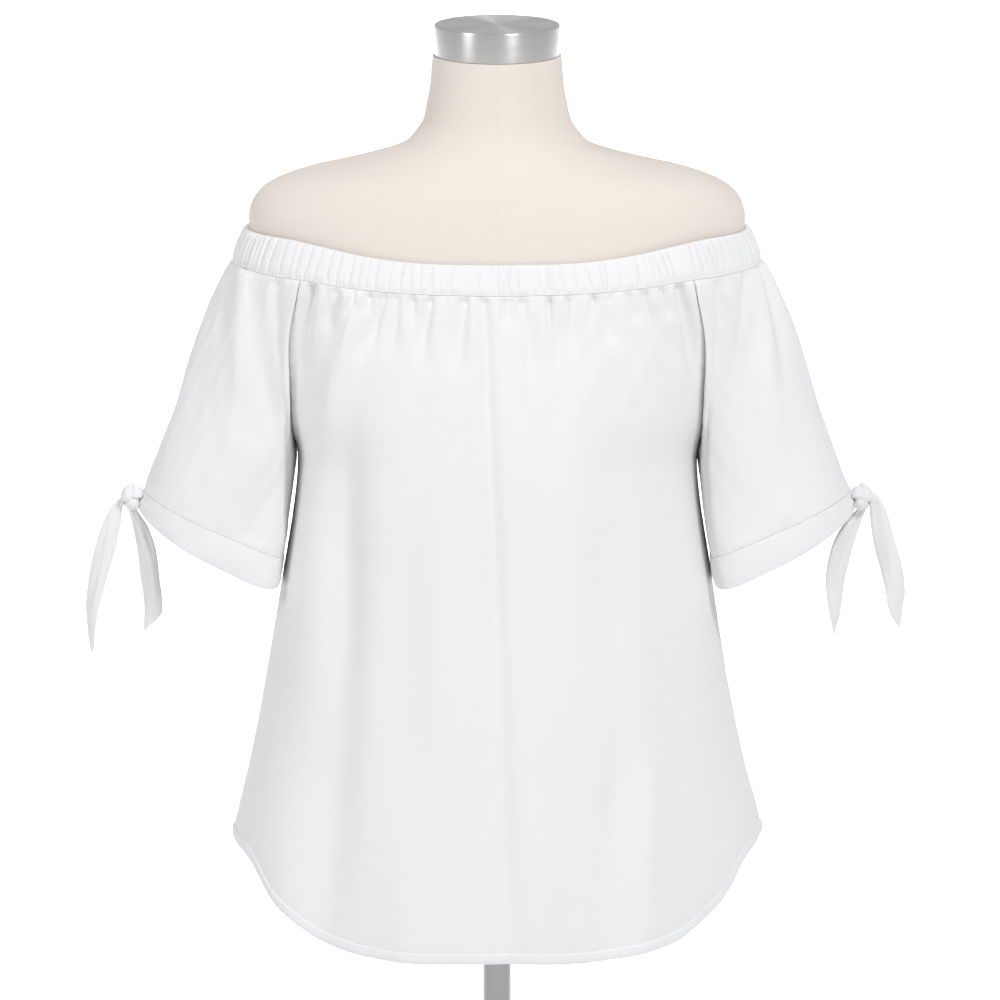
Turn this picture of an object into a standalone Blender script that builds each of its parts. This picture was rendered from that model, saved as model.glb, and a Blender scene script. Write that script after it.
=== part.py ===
"""An off-shoulder top on a limbless dress form.

The top has an elastic neck casing, raglan sleeves, tie cuffs and a curved hem. It hangs from the form's
shoulders and is filled out all round. Units are metres, +Z is up, the front faces -Y, and the origin is on
the floor under the middle of the base.
"""

import math
from collections import namedtuple

import bmesh
import bpy
import numpy as np

MM = 0.001

# Cloth
SEAM_GAP = 0.3 * MM
WALL = 1.5 * MM
HEM_BAND = 9.0 * MM
HEM_STEP = 1.0 * MM
HEM_RAISE = 0.6 * MM
ROUNDNESS = 2.2
SEAM_PROBE = 0.02
LEVEL = np.array([1.0, 1.0, 0.0])

# Neck casing
CASING_GATHERS = 132
CASING_WALL = 2.4 * MM
GATHER_HEIGHT = 1.6 * MM
GATHER_AT_EDGE = 0.35
CASING_SWELL = 0.9 * MM
CASING_SWELL_AT = (0.3, 0.68)
CASING_TOP_HALF_WIDTH = 210.6 * MM
CASING_TOP_FRONT = 108.5 * MM
CASING_TOP_BACK = 104.5 * MM
CASING_HALF_WIDTH = 221.5 * MM
CASING_FRONT = 119.0 * MM
CASING_BACK = 111.0 * MM
CASING_SIDE_TOP = 1228.0 * MM
CASING_SIDE_BOTTOM = 1198.0 * MM
CASING_FRONT_DROP = 11.0 * MM
CASING_FRONT_DROP_BELOW = 8.0 * MM
CASING_BACK_DROP = 3.0 * MM
CASING_BACK_DROP_BELOW = 5.0 * MM

# Body of the top
UNDERARM = 1034.0 * MM
HEM_CORNER = 712.0 * MM
HEM_LOWEST = 629.0 * MM
PANEL_COLUMNS = 60
ARMHOLE_LEVELS = (0.0, 0.15, 0.42, 0.72, 1.0)
BODY_LEVELS = (0.27, 0.52, 0.77, 1.0)
PANEL_FADE = 0.07
SEAM_VALLEY = 3

# Level sections, from the hem up: half the width, and the depth before and behind the middle
Section = namedtuple("Section", "height half_width front back")
BODY_SECTIONS = (
    (620, 236.0, 162, 150),
    (712, 222.5, 156, 142),
    (774, 208.0, 151, 137),
    (842, 194.4, 147, 131),
    (928, 180.6, 141, 122),
    (1034, 167.5, 138, 117),
    (1081, 184.0, 134, 115),
    (1150, 204.0, 126, 113),
    (1190, 221.5, 119, 111),
)

SeamPoint = namedtuple("SeamPoint", "height half_width")
RAGLAN_SEAM = (
    (1034, 167.5),
    (1058, 171.5),
    (1081, 173.5),
    (1150, 173.0),
    (1193, 165.0),
)

# The share of the hem's rise from the middle to the side seam, by the share of the half width
HemPoint = namedtuple("HemPoint", "across rise")
HEM_CURVE = (
    (0.0, 0.0),
    (0.395, 0.016),
    (0.552, 0.086),
    (0.667, 0.194),
    (0.751, 0.351),
    (0.823, 0.518),
    (0.866, 0.657),
    (0.923, 0.85),
    (1.0, 1.0),
)

FOLD_FADE_OUT = 0.45
FOLD_FADE_IN = 0.3
FOLD_WIDENING = 0.6

# Folds: where each starts and ends, how far it reaches to each side, and how far it stands out or in
Fold = namedtuple("Fold", "top_x middle_x bottom_x top bottom reach height")
FRONT_FOLDS = (
    (-152, -162, -167, 1198, 1100, 6.0, -5.0),
    (-130, -137, -143, 1198, 1150, 5.0, -3.0),
    (-115, -127, -136, 1198, 1130, 5.0, -3.5),
    (-102, -108, -113, 1198, 1165, 4.5, -2.5),
    (-90, -101, -111, 1198, 1130, 5.0, -3.5),
    (-80, -85, -90, 1198, 1128, 5.0, -2.5),
    (-67, -70, -72, 1198, 1160, 4.5, -2.5),
    (-51, -60, -66, 1198, 1120, 5.0, -3.5),
    (-24, -30, -34, 1198, 1112, 6.0, -3.5),
    (-12, 2, 10, 1198, 500, 7.0, -4.0),
    (4, 6, 7, 1198, 1155, 4.5, -2.5),
    (18, 25, 30, 1198, 1100, 5.5, -3.5),
    (41, 48, 54, 1198, 1105, 5.5, -3.5),
    (57, 60, 66, 1198, 1128, 4.5, -2.5),
    (77, 88, 98, 1198, 1135, 5.5, -3.5),
    (104, 112, 121, 1198, 1158, 5.0, -2.5),
    (118, 133, 146, 1198, 1122, 5.5, -3.5),
    (134, 141, 147, 1198, 1160, 5.0, -2.5),
    (150, 161, 166, 1198, 1100, 6.0, -5.0),
    (-122, -150, -184, 1198, 800, 14.0, 6.0),
    (-126, -135, -163, 1130, 500, 17.0, -8.0),
    (104, 97, 90, 860, 500, 16.0, -5.0),
    (128, 123, 118, 820, 500, 14.0, 4.0),
)
BACK_FOLDS = (
    (-150, -160, -166, 1198, 1096, 6.0, -4.5),
    (-133, -139, -146, 1198, 1152, 5.0, -3.0),
    (-117, -125, -132, 1198, 1124, 5.5, -3.5),
    (-99, -105, -112, 1198, 1160, 4.5, -2.5),
    (-84, -94, -103, 1198, 1118, 5.5, -3.5),
    (-66, -70, -75, 1198, 1150, 5.0, -3.0),
    (-49, -56, -60, 1198, 1106, 5.5, -3.5),
    (-31, -34, -36, 1198, 1158, 4.5, -2.5),
    (-13, -18, -24, 1198, 500, 8.0, -4.5),
    (6, 7, 9, 1198, 1140, 5.0, -3.0),
    (24, 28, 34, 1198, 1112, 5.5, -3.5),
    (42, 47, 50, 1198, 1158, 4.5, -2.5),
    (61, 70, 80, 1198, 1120, 5.5, -3.5),
    (80, 85, 91, 1198, 1150, 5.0, -3.0),
    (98, 110, 120, 1198, 1126, 5.5, -3.5),
    (115, 121, 128, 1198, 1162, 4.5, -2.5),
    (132, 141, 148, 1198, 1130, 5.0, -3.5),
    (150, 161, 166, 1198, 1098, 6.0, -4.5),
    (104, 122, 146, 1090, 500, 17.0, -7.0),
    (-88, -98, -104, 900, 500, 17.0, -5.5),
)

# Sleeves
SLEEVE_COLUMNS = 36
SLEEVE_LEVELS = (0.22, 0.45, 0.67, 0.86, 1.0)
SLEEVE_HALF_DEPTH = 58.0 * MM
SLEEVE_BULGE = 4.0 * MM
SLEEVE_OUTER_AT_UNDERARM = (265.0 * MM, 1092.0 * MM)
CUFF_TOP_INNER = (181.0 * MM, 953.0 * MM)
CUFF_TOP_OUTER = (297.0 * MM, 1004.5 * MM)
SLEEVE_FADE = 0.13
CUFF_FADE = 0.15
SHOULDER_IN = 60.0 * MM

# Round a sleeve, -1 is the front seam, 0 the outer side and 1 the back seam; down it, 0 is the casing,
# 1 the underarm and 2 the cuff
SleeveFold = namedtuple("SleeveFold", "top_around bottom_around top_down bottom_down reach height")
LEFT_SLEEVE_FOLDS = (
    (-0.80, -0.82, -0.1, 0.60, 0.06, -3.0),
    (-0.84, -0.86, 0.50, 1.90, 0.08, -6.0),
    (-0.45, -0.60, -0.1, 1.80, 0.09, 4.0),
    (-0.50, -0.42, 0.80, 2.10, 0.07, 3.5),
    (-0.25, -0.32, -0.1, 0.60, 0.06, -2.5),
    (0.00, 0.04, -0.1, 0.90, 0.07, -3.0),
    (0.28, 0.31, -0.1, 1.30, 0.07, -3.5),
    (0.55, 0.50, -0.1, 1.60, 0.08, 4.0),
    (0.80, 0.83, -0.1, 1.10, 0.06, -4.0),
)
RIGHT_SLEEVE_FOLDS = (
    (-0.78, -0.80, -0.1, 0.70, 0.06, -3.0),
    (-0.84, -0.84, 0.50, 1.80, 0.08, -5.0),
    (-0.48, -0.55, -0.1, 0.70, 0.06, -3.5),
    (-0.33, -0.46, -0.1, 1.70, 0.08, 4.0),
    (-0.18, -0.34, -0.1, 1.00, 0.06, -3.5),
    (-0.04, -0.08, -0.1, 0.90, 0.06, 3.0),
    (0.24, 0.27, -0.1, 1.20, 0.07, -3.5),
    (0.52, 0.56, -0.1, 1.50, 0.08, 3.5),
    (0.79, 0.82, -0.1, 1.00, 0.06, -4.0),
)

# Cuffs, knots and tie tails
CUFF_WALL = 1.8 * MM
CUFF_SWELL = 0.8 * MM
CUFF_BOTTOM_INNER = (185.0 * MM, 930.0 * MM)
CUFF_BOTTOM_OUTER = (301.5 * MM, 989.0 * MM)
CUFF_FRONT_DIP = 9.0 * MM
KNOT_CENTRE = (308.1 * MM, -3.0 * MM, 1000.0 * MM)
KNOT_HALF_SIZE = (8.6 * MM, 10.0 * MM, 9.6 * MM)
KNOT_GROOVE = 0.12
KNOT_GROOVE_REACH = 0.35
KNOT_RINGS = 8
KNOT_SIDES = 16
TAIL_THICKNESS = 1.8 * MM
TAIL_CURL = 2.2 * MM
TAIL_WIDEST = 10.0

# Down each tail: how far out and back its middle lies, its height, half its width and its turn
TailRow = namedtuple("TailRow", "out back height half_width turn")
LEFT_OUTER_TAIL = (
    (317.5, -4, 993.0, 3.4, 0),
    (323.5, -5, 977, 7.5, 10),
    (331.0, -6, 950, 9.2, 18),
    (338.3, -6, 923, 9.2, 38),
    (341.8, -5, 896, 9.2, 58),
    (341.2, -4, 876, 7.0, 66),
    (338.5, -3, 867, 1.8, 68),
)
LEFT_INNER_TAIL = (
    (306.7, -4, 990.0, 3.2, 0),
    (300.5, -5, 975, 6.4, 8),
    (295.5, -6, 957, 8.2, 12),
    (292.3, -6, 930, 8.6, 18),
    (289.5, -5, 904, 8.6, 24),
    (292.5, -4, 891, 5.6, 26),
    (295.5, -4, 884, 1.8, 26),
)
RIGHT_OUTER_TAIL = (
    (318.3, -5, 993.3, 3.6, 0),
    (321.4, -6, 980, 8.2, 6),
    (325.2, -7, 962, 9.4, 8),
    (331.0, -7, 941, 9.8, 10),
    (335.6, -6, 921, 9.8, 30),
    (337.0, -5, 900, 7.4, 48),
    (339.0, -4, 891, 2.0, 50),
)
RIGHT_INNER_TAIL = (
    (306.9, -3, 990.0, 3.4, 0),
    (299.5, -4, 977, 7.0, 8),
    (292.5, -5, 962, 9.2, 12),
    (287.6, -5, 943, 9.6, 16),
    (285.2, -4, 922, 9.4, 34),
    (285.4, -3, 900, 8.2, 55),
    (284.3, -2, 884, 2.0, 58),
)

# Dress form and stand
FORM_SECTIONS = (
    (720, 152, 115, 110),
    (780, 149, 112, 106),
    (840, 135, 101, 94),
    (900, 127, 93, 85),
    (960, 132, 96, 86),
    (1010, 141, 106, 92),
    (1060, 151, 115, 98),
    (1110, 167, 116, 103),
    (1160, 189, 112, 105),
    (1200, 203, 106.5, 102.5),
    (1217, 206.6, 103.0, 101.0),
    (1229, 208.0, 100.0, 99.5),
    (1247, 206.6, 95, 97),
    (1258, 200.0, 91, 95),
    (1266, 190.0, 88, 93),
    (1275, 165.5, 83, 90),
    (1284, 123.5, 76, 85),
    (1294, 88.0, 69, 79),
    (1311, 67.0, 61, 68),
    (1336, 58.5, 56.5, 59.5),
    (1374, 54.0, 54, 54),
)
FORM_SIDES = 40
NECK_BOTTOM = 1300.0 * MM
NECK_TOP = 1374.0 * MM
FORM_BOTTOM = 720.0 * MM
CAP_RADIUS = 52.7 * MM
CAP_HEIGHT = 25.7 * MM
CAP_EDGE = 1.2 * MM
POLE_RADIUS = 12.0 * MM
BASE_RADIUS = 170.0 * MM
BASE_HEIGHT = 10.0 * MM
BASE_EDGE = 3.0 * MM
STAND_SIDES = 48

COLOURS = {
    "cotton_white": ((0.86, 0.86, 0.88), 0.9, 0.0),
    "form_cream": ((0.84, 0.79, 0.74), 0.92, 0.0),
    "brushed_steel": ((0.58, 0.58, 0.60), 0.32, 1.0),
}


def clear_scene():
    for old in list(bpy.data.objects):
        bpy.data.objects.remove(old, do_unlink=True)


def material(name):
    colour, roughness, metallic = COLOURS[name]
    made = bpy.data.materials.get(name)
    if made is None:
        made = bpy.data.materials.new(name)
        made.use_nodes = True
        shader = made.node_tree.nodes["Principled BSDF"]
        shader.inputs["Base Color"].default_value = (*colour, 1.0)
        shader.inputs["Roughness"].default_value = roughness
        shader.inputs["Metallic"].default_value = metallic
    return made


def smooth_value(kind, rows, column, at):
    """Read a named column of a table at a value of its first column, on a smooth curve through the rows."""
    xs = np.array([row[0] for row in rows], float)
    ys = np.array([getattr(kind(*row), column) for row in rows], float)
    at = np.clip(np.asarray(at, float), xs[0], xs[-1])
    step = np.diff(xs)
    rise = np.diff(ys) / step
    slope = np.empty_like(ys)
    slope[0] = rise[0]
    slope[-1] = rise[-1]
    slope[1:-1] = (rise[:-1] * step[1:] + rise[1:] * step[:-1]) / (step[:-1] + step[1:])
    turn = rise[:-1] * rise[1:] <= 0
    slope[1:-1][turn] = 0.0
    i = np.clip(np.searchsorted(xs, at) - 1, 0, len(xs) - 2)
    t = (at - xs[i]) / step[i]
    start = (1 + 2 * t) * (1 - t) ** 2 * ys[i] + t * (1 - t) ** 2 * step[i] * slope[i]
    end = t * t * (3 - 2 * t) * ys[i + 1] + t * t * (t - 1) * step[i] * slope[i + 1]
    return start + end


def ease(value):
    value = np.clip(value, 0.0, 1.0)
    return value * value * (3 - 2 * value)


def unit(vectors):
    return vectors / np.maximum(np.linalg.norm(vectors, axis=-1, keepdims=True), 1e-9)


def oval(angle, half_width, front, back, roundness=ROUNDNESS):
    """A point on an oval section; the angle is 0 at the front, positive to +X and pi at the back."""
    across = np.sign(np.sin(angle)) * np.abs(np.sin(angle)) ** (2 / roundness)
    along = np.sign(np.cos(angle)) * np.abs(np.cos(angle)) ** (2 / roundness)
    depth = np.where(np.cos(angle) > 0, front, back)
    return across * half_width, -along * depth


def casing_heights(angle):
    """The heights of the casing's top and bottom edges at an angle round the neck."""
    side = np.abs(np.sin(angle)) ** (8 / ROUNDNESS)
    is_front = np.cos(angle) > 0
    top_drop = np.where(is_front, CASING_FRONT_DROP, CASING_BACK_DROP)
    bottom_drop = np.where(is_front, CASING_FRONT_DROP_BELOW, CASING_BACK_DROP_BELOW)
    return CASING_SIDE_TOP - top_drop * (1 - side), CASING_SIDE_BOTTOM - bottom_drop * (1 - side)


def body_point(angle, height):
    half_width, front, back = (
        smooth_value(Section, BODY_SECTIONS, column, height / MM) * MM
        for column in ("half_width", "front", "back")
    )
    x, y = oval(angle, half_width, front, back)
    return np.stack([x, y, height], axis=-1)


def seam_angle(height):
    """The angle from the front at which the raglan seam lies at a height, up to a quarter turn."""
    half_width = smooth_value(Section, BODY_SECTIONS, "half_width", height / MM)
    seam = smooth_value(SeamPoint, RAGLAN_SEAM, "half_width", height / MM)
    share = np.clip(seam / half_width, 0.0, 1.0)
    return np.arcsin(share ** (ROUNDNESS / 2))


def raglan_seam(facing):
    """The raglan seam's points on the right side; facing is 1 at the front and -1 at the back."""
    points = []
    for level in ARMHOLE_LEVELS:
        height = UNDERARM
        for _ in range(6):
            angle = seam_angle(height)
            turned = angle if facing > 0 else math.pi - angle
            height = float(casing_heights(turned)[1] * (1 - level) + UNDERARM * level)
        points.append(body_point(np.array(turned), np.array(height)))
    return np.array(points)


def seam_frames(facing):
    """The seam's points, the outward directions there and the directions from body to sleeve.

    Both pieces take the same outward directions, so that their walls stay side by side.
    """
    points = raglan_seam(facing)
    around = np.linspace(-1, 1, SLEEVE_COLUMNS + 1)
    sleeve_side = sleeve_rings(around)[:len(ARMHOLE_LEVELS), 1 if facing > 0 else -2]
    tangent = unit(np.gradient(points, axis=0))
    outwards = []
    across = []
    for i, level in enumerate(ARMHOLE_LEVELS):
        angle = float(seam_angle(points[i][2])) - SEAM_PROBE
        beside = body_point(np.array(angle if facing > 0 else math.pi - angle), points[i][2])
        to_body = beside - points[i]
        to_sleeve = sleeve_side[i] - points[i]
        to_body = unit(to_body - tangent[i] * np.dot(to_body, tangent[i]))
        to_sleeve = unit(to_sleeve - tangent[i] * np.dot(to_sleeve, tangent[i]))
        side = unit(to_sleeve - to_body)
        outward = unit(np.cross(tangent[i], side))
        hint = np.array([abs(to_body[1]), -facing * abs(to_body[0]), 0.0]) * (1 - level ** 3)
        hint = hint + np.array([0.0, 0.0, -level])
        outward = outward * (1.0 if np.dot(outward, hint) > 0 else -1.0)
        outwards.append(outward)
        across.append(side)
    outwards[0] = unit(outwards[0] * np.array([1.0, 1.0, 0.0]))
    outwards[-1] = np.array([0.0, 0.0, -1.0])
    across[-1] = np.array([1.0, 0.0, 0.0])
    return points, np.array(outwards), np.array(across)


def fold_height(table, x, z):
    """How far the folds in a table move the cloth out, at places given by x and height."""
    total = np.zeros_like(x)
    for row in table:
        fold = Fold(*(value * MM for value in row))
        t = (fold.top - z) / (fold.top - fold.bottom)
        inside = np.clip(t, 0.0, 1.0)
        bend = 2 * fold.middle_x - 0.5 * (fold.top_x + fold.bottom_x)
        centre = (1 - inside) ** 2 * fold.top_x + 2 * inside * (1 - inside) * bend
        centre = centre + inside ** 2 * fold.bottom_x
        strength = ease((1 - t) / FOLD_FADE_OUT)
        if fold.top < CASING_SIDE_BOTTOM:
            strength = strength * ease(t / FOLD_FADE_IN)
        reach = fold.reach * (1 + FOLD_WIDENING * inside)
        total += fold.height * strength * np.exp(-((x - centre) / reach) ** 2)
    return total


def grid_normals(grid, outward):
    """Normals of a grid of points, turned to the side that the given directions face."""
    down = np.gradient(grid, axis=0)
    along = np.gradient(grid, axis=1)
    normals = unit(np.cross(down, along))
    facing = np.sign(np.sum(normals * outward, axis=-1, keepdims=True))
    return normals * np.where(facing == 0, 1.0, facing)


def wall_object(name, finish, outer, inner, joined_from=None):
    """A closed wall between two grids. Rows from joined_from on close round on themselves."""
    rows, columns = outer.shape[:2]
    joined_from = rows if joined_from is None else joined_from
    vertices = []
    numbers = np.zeros((2, rows, columns), int)
    for side, grid in enumerate((outer, inner)):
        for row in range(rows):
            for column in range(columns):
                if row >= joined_from and column == columns - 1:
                    numbers[side, row, column] = numbers[side, row, 0]
                    continue
                numbers[side, row, column] = len(vertices)
                vertices.append(grid[row, column])
    faces = []
    out, into = numbers
    for row in range(rows - 1):
        for column in range(columns - 1):
            faces.append((out[row, column], out[row + 1, column],
                          out[row + 1, column + 1], out[row, column + 1]))
            faces.append((into[row, column], into[row, column + 1],
                          into[row + 1, column + 1], into[row + 1, column]))
        if row < joined_from:
            for column in (0, columns - 1):
                faces.append((out[row, column], into[row, column],
                              into[row + 1, column], out[row + 1, column]))
    for row in (0, rows - 1):
        for column in range(columns - 1):
            faces.append((out[row, column], out[row, column + 1],
                          into[row, column + 1], into[row, column]))
    return mesh_object(name, finish, vertices, faces)


def ring_object(name, finish, profiles):
    """A closed ring through profiles, each a closed loop of points."""
    count, points = profiles.shape[:2]
    faces = []
    for i in range(count):
        for j in range(points):
            after_i = (i + 1) % count
            after_j = (j + 1) % points
            faces.append((i * points + j, i * points + after_j,
                          after_i * points + after_j, after_i * points + j))
    return mesh_object(name, finish, profiles.reshape(-1, 3), faces)


def stack_object(name, finish, rings):
    """A solid through rings of points, closed by a fan at each end."""
    rings = np.asarray(rings)
    count, points = rings.shape[:2]
    vertices = list(rings.reshape(-1, 3)) + [rings[0].mean(axis=0), rings[-1].mean(axis=0)]
    faces = []
    for i in range(count - 1):
        for j in range(points):
            after = (j + 1) % points
            faces.append((i * points + j, i * points + after,
                          (i + 1) * points + after, (i + 1) * points + j))
    for end, ring in ((0, 0), (1, count - 1)):
        for j in range(points):
            faces.append((count * points + end, ring * points + (j + 1) % points, ring * points + j))
    return mesh_object(name, finish, vertices, faces)


def mesh_object(name, finish, vertices, faces):
    """An object from points and faces, with all faces turned out and round parts shaded smooth."""
    mesh = bpy.data.meshes.new(name)
    mesh.from_pydata([tuple(map(float, v)) for v in vertices], [], [tuple(map(int, f)) for f in faces])
    work = bmesh.new()
    work.from_mesh(mesh)
    bmesh.ops.triangulate(work, faces=work.faces)
    bmesh.ops.recalc_face_normals(work, faces=work.faces)
    work.to_mesh(mesh)
    work.free()
    mesh.shade_smooth()
    mesh.set_sharp_from_angle(angle=math.radians(50))
    made = bpy.data.objects.new(name, mesh)
    made.data.materials.append(material(finish))
    bpy.context.collection.objects.link(made)
    return made


def panel(name, facing, folds):
    """The front panel (facing 1) or the back panel (facing -1)."""
    shares = np.linspace(-1, 1, PANEL_COLUMNS + 1)
    armhole_rows = len(ARMHOLE_LEVELS)
    seam_points, seam_outwards, seam_across = seam_frames(facing)
    rows = []
    for level, seam in zip(ARMHOLE_LEVELS, seam_points):
        quarter = float(seam_angle(seam[2]))
        turned = shares * quarter
        angle = turned if facing > 0 else math.pi - turned
        height = casing_heights(angle)[1] * (1 - level) + UNDERARM * level
        rows.append(body_point(angle, height))
    turned = shares * math.pi / 2
    angle = turned if facing > 0 else math.pi - turned
    across = np.abs(np.sin(turned)) ** (2 / ROUNDNESS)
    hem = HEM_LOWEST + (HEM_CORNER - HEM_LOWEST) * smooth_value(HemPoint, HEM_CURVE, "rise", across)
    above_band = hem + HEM_BAND + HEM_STEP
    for share in BODY_LEVELS:
        rows.append(body_point(angle, UNDERARM * (1 - share) + above_band * share))
    rows.append(body_point(angle, hem + HEM_BAND))
    rows.append(body_point(angle, hem))
    grid = np.array(rows)

    outward = grid * LEVEL
    normals = grid_normals(grid, outward)
    normals[0] = unit(normals[0] * LEVEL)
    fade = ease((1 - np.abs(shares)) / PANEL_FADE)[None, :, None]
    moved = fold_height(folds, grid[..., 0], grid[..., 2])[..., None]
    outer = grid + normals * moved * fade
    normals = grid_normals(outer, outward)
    normals[0] = unit(normals[0] * LEVEL)

    for column, side in ((0, -1), (PANEL_COLUMNS, 1)):
        mirror = np.array([side, 1.0, 1.0])
        seam = seam_points - seam_across * SEAM_GAP / 2
        seam[:, 1] = np.where(facing * seam[:, 1] > -SEAM_GAP / 2, -facing * SEAM_GAP / 2, seam[:, 1])
        outer[:armhole_rows, column] = seam * mirror
        normals[:armhole_rows, column] = seam_outwards * mirror
        outer[armhole_rows:, column, 1] = -facing * SEAM_GAP / 2
        normals[armhole_rows:, column] = (side, 0.0, 0.0)
    outer[0, :, 2] -= SEAM_GAP
    inner = outer - normals * WALL
    inner[0, :, 2] = outer[0, :, 2]
    outer[-2:] += normals[-2:] * HEM_RAISE
    return wall_object(name, "cotton_white", outer, inner)


def tilted_ring(around, inner_point, outer_point, half_depth):
    """A round section between an inner and an outer point; around runs -1, 0, 1 as on the sleeves."""
    low = np.array([inner_point[0], 0.0, inner_point[1]])
    high = np.array([outer_point[0], 0.0, outer_point[1]])
    centre = (low + high) / 2
    reach = (high - low) / 2
    turn = np.pi * np.asarray(around)[:, None]
    return centre + np.cos(turn) * reach + np.sin(turn) * np.array([0.0, half_depth, 0.0])


def sleeve_rings(around):
    """The sleeve's rows of points on the right side, from the casing to the cuff."""
    front_seam = raglan_seam(1)
    back_seam = raglan_seam(-1)
    front_angle = float(seam_angle(front_seam[0][2]))
    back_angle = float(seam_angle(back_seam[0][2]))
    quarter = np.where(around < 0, math.pi / 2 - front_angle, math.pi / 2 - back_angle)
    angle = math.pi / 2 + around * quarter
    x, y = oval(angle, CASING_HALF_WIDTH, CASING_FRONT, CASING_BACK)
    casing = np.stack([x, y, casing_heights(angle)[1]], axis=-1)
    crotch = (front_seam[-1][0], UNDERARM)
    underarm = tilted_ring(around, crotch, SLEEVE_OUTER_AT_UNDERARM, SLEEVE_HALF_DEPTH)
    rows = []
    for i, level in enumerate(ARMHOLE_LEVELS):
        row = casing * (1 - level) + underarm * level
        bulge = SLEEVE_BULGE * math.sin(math.pi * level) * np.cos(around * math.pi / 2) ** 2
        row = row + bulge[:, None] * np.array([1.0, 0.0, 0.3])
        front_share = ((1 - around) / 2) ** SEAM_VALLEY
        back_share = ((1 + around) / 2) ** SEAM_VALLEY
        to_front = front_seam[i] - row[0]
        to_back = back_seam[i] - row[-1]
        row = row + front_share[:, None] * to_front + back_share[:, None] * to_back
        rows.append(row)
    for level in SLEEVE_LEVELS:
        low = np.array(crotch) * (1 - level) + np.array(CUFF_TOP_INNER) * level
        high = np.array(SLEEVE_OUTER_AT_UNDERARM) * (1 - level) + np.array(CUFF_TOP_OUTER) * level
        rows.append(tilted_ring(around, low, high, SLEEVE_HALF_DEPTH))
    return np.array(rows)


def sleeve_fold_height(table, around, down):
    total = np.zeros(np.broadcast(around, down).shape)
    for row in table:
        fold = SleeveFold(*row)
        t = (down - fold.top_down) / (fold.bottom_down - fold.top_down)
        inside = np.clip(t, 0.0, 1.0)
        centre = fold.top_around * (1 - inside) + fold.bottom_around * inside
        strength = ease((1 - t) / FOLD_FADE_OUT)
        if fold.top_down > 0:
            strength = strength * ease(t / FOLD_FADE_IN)
        total += fold.height * MM * strength * np.exp(-((around - centre) / fold.reach) ** 2)
    return total


def sleeve(name, side, folds):
    around = np.linspace(-1, 1, SLEEVE_COLUMNS + 1)
    grid = sleeve_rings(around)
    armhole_rows = len(ARMHOLE_LEVELS)
    down = np.array(ARMHOLE_LEVELS + tuple(1 + level for level in SLEEVE_LEVELS))
    middles = grid.mean(axis=1, keepdims=True)
    middles[:armhole_rows] -= np.array([SHOULDER_IN, 0.0, 0.0]) * (1 - down[:armhole_rows, None, None])
    outward = grid - middles
    fade = ease((1 - np.abs(around)) / SLEEVE_FADE)[None, :] * ease((2 - down) / CUFF_FADE)[:, None]
    moved = sleeve_fold_height(folds, around[None, :], down[:, None]) * fade
    normals = grid_normals(grid, outward)
    normals[0] = unit(normals[0] * LEVEL)
    outer = grid + normals * moved[..., None]
    normals = grid_normals(outer, outward)
    normals[0] = unit(normals[0] * LEVEL)

    for column, facing in ((0, 1), (SLEEVE_COLUMNS, -1)):
        points, outwards, across = seam_frames(facing)
        outer[:armhole_rows, column] = points + across * SEAM_GAP / 2
        normals[:armhole_rows, column] = outwards
    crotch = armhole_rows - 1
    outer[crotch, 0] = outer[crotch, -1] = (outer[crotch, 0, 0] + SEAM_GAP / 2, 0.0, UNDERARM)
    normals[crotch, 0] = normals[crotch, -1] = (0.0, 0.0, -1.0)
    for row in range(armhole_rows, len(outer)):
        normals[row, 0] = normals[row, -1] = unit(outward[row, 0] * np.array([1.0, 0.0, 1.0]))
    ring_centre = grid[-1, :-1].mean(axis=0)
    normals[-1] = unit(grid[-1] - ring_centre)
    outer[0, :, 2] -= SEAM_GAP
    inner = outer - normals * WALL
    inner[0, :, 2] = outer[0, :, 2]
    mirror = np.array([side, 1.0, 1.0])
    return wall_object(name, "cotton_white", outer * mirror, inner * mirror, joined_from=crotch)


def neck_casing():
    """The elastic casing: gathers raised on its outer face over a plain inner face."""
    columns = 2 * CASING_GATHERS
    angle = np.linspace(0, 2 * math.pi, columns, endpoint=False)
    top, bottom = casing_heights(angle)
    rings = []
    for share in (0.0, 1.0):
        half_width = CASING_TOP_HALF_WIDTH * (1 - share) + CASING_HALF_WIDTH * share
        front = CASING_TOP_FRONT * (1 - share) + CASING_FRONT * share
        back = CASING_TOP_BACK * (1 - share) + CASING_BACK * share
        x, y = oval(angle, half_width, front, back)
        rings.append(np.stack([x, y, top * (1 - share) + bottom * share], axis=-1))
    upper, lower = rings
    beside = np.roll(upper, -1, axis=0) - np.roll(upper, 1, axis=0)
    outward = unit(np.stack([beside[:, 1], -beside[:, 0], 0 * beside[:, 0]], axis=-1))
    outward = outward * np.sign(np.sum(outward * upper, axis=-1, keepdims=True))
    is_ridge = (np.arange(columns) % 2 == 0).astype(float)
    uneven = 0.8 + 0.2 * np.sin(3.7 * np.arange(columns)) * np.cos(0.61 * np.arange(columns))
    gather = (GATHER_HEIGHT * is_ridge * uneven)[:, None]
    profile = [upper + outward * GATHER_AT_EDGE * gather]
    for share in CASING_SWELL_AT:
        point = upper * (1 - share) + lower * share
        profile.append(point + outward * (CASING_SWELL + gather))
    profile.append(lower + outward * GATHER_AT_EDGE * gather)
    profile.append(lower - outward * CASING_WALL)
    profile.append(upper - outward * CASING_WALL)
    return ring_object("neck_casing", "cotton_white", np.stack(profile, axis=1))


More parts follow.
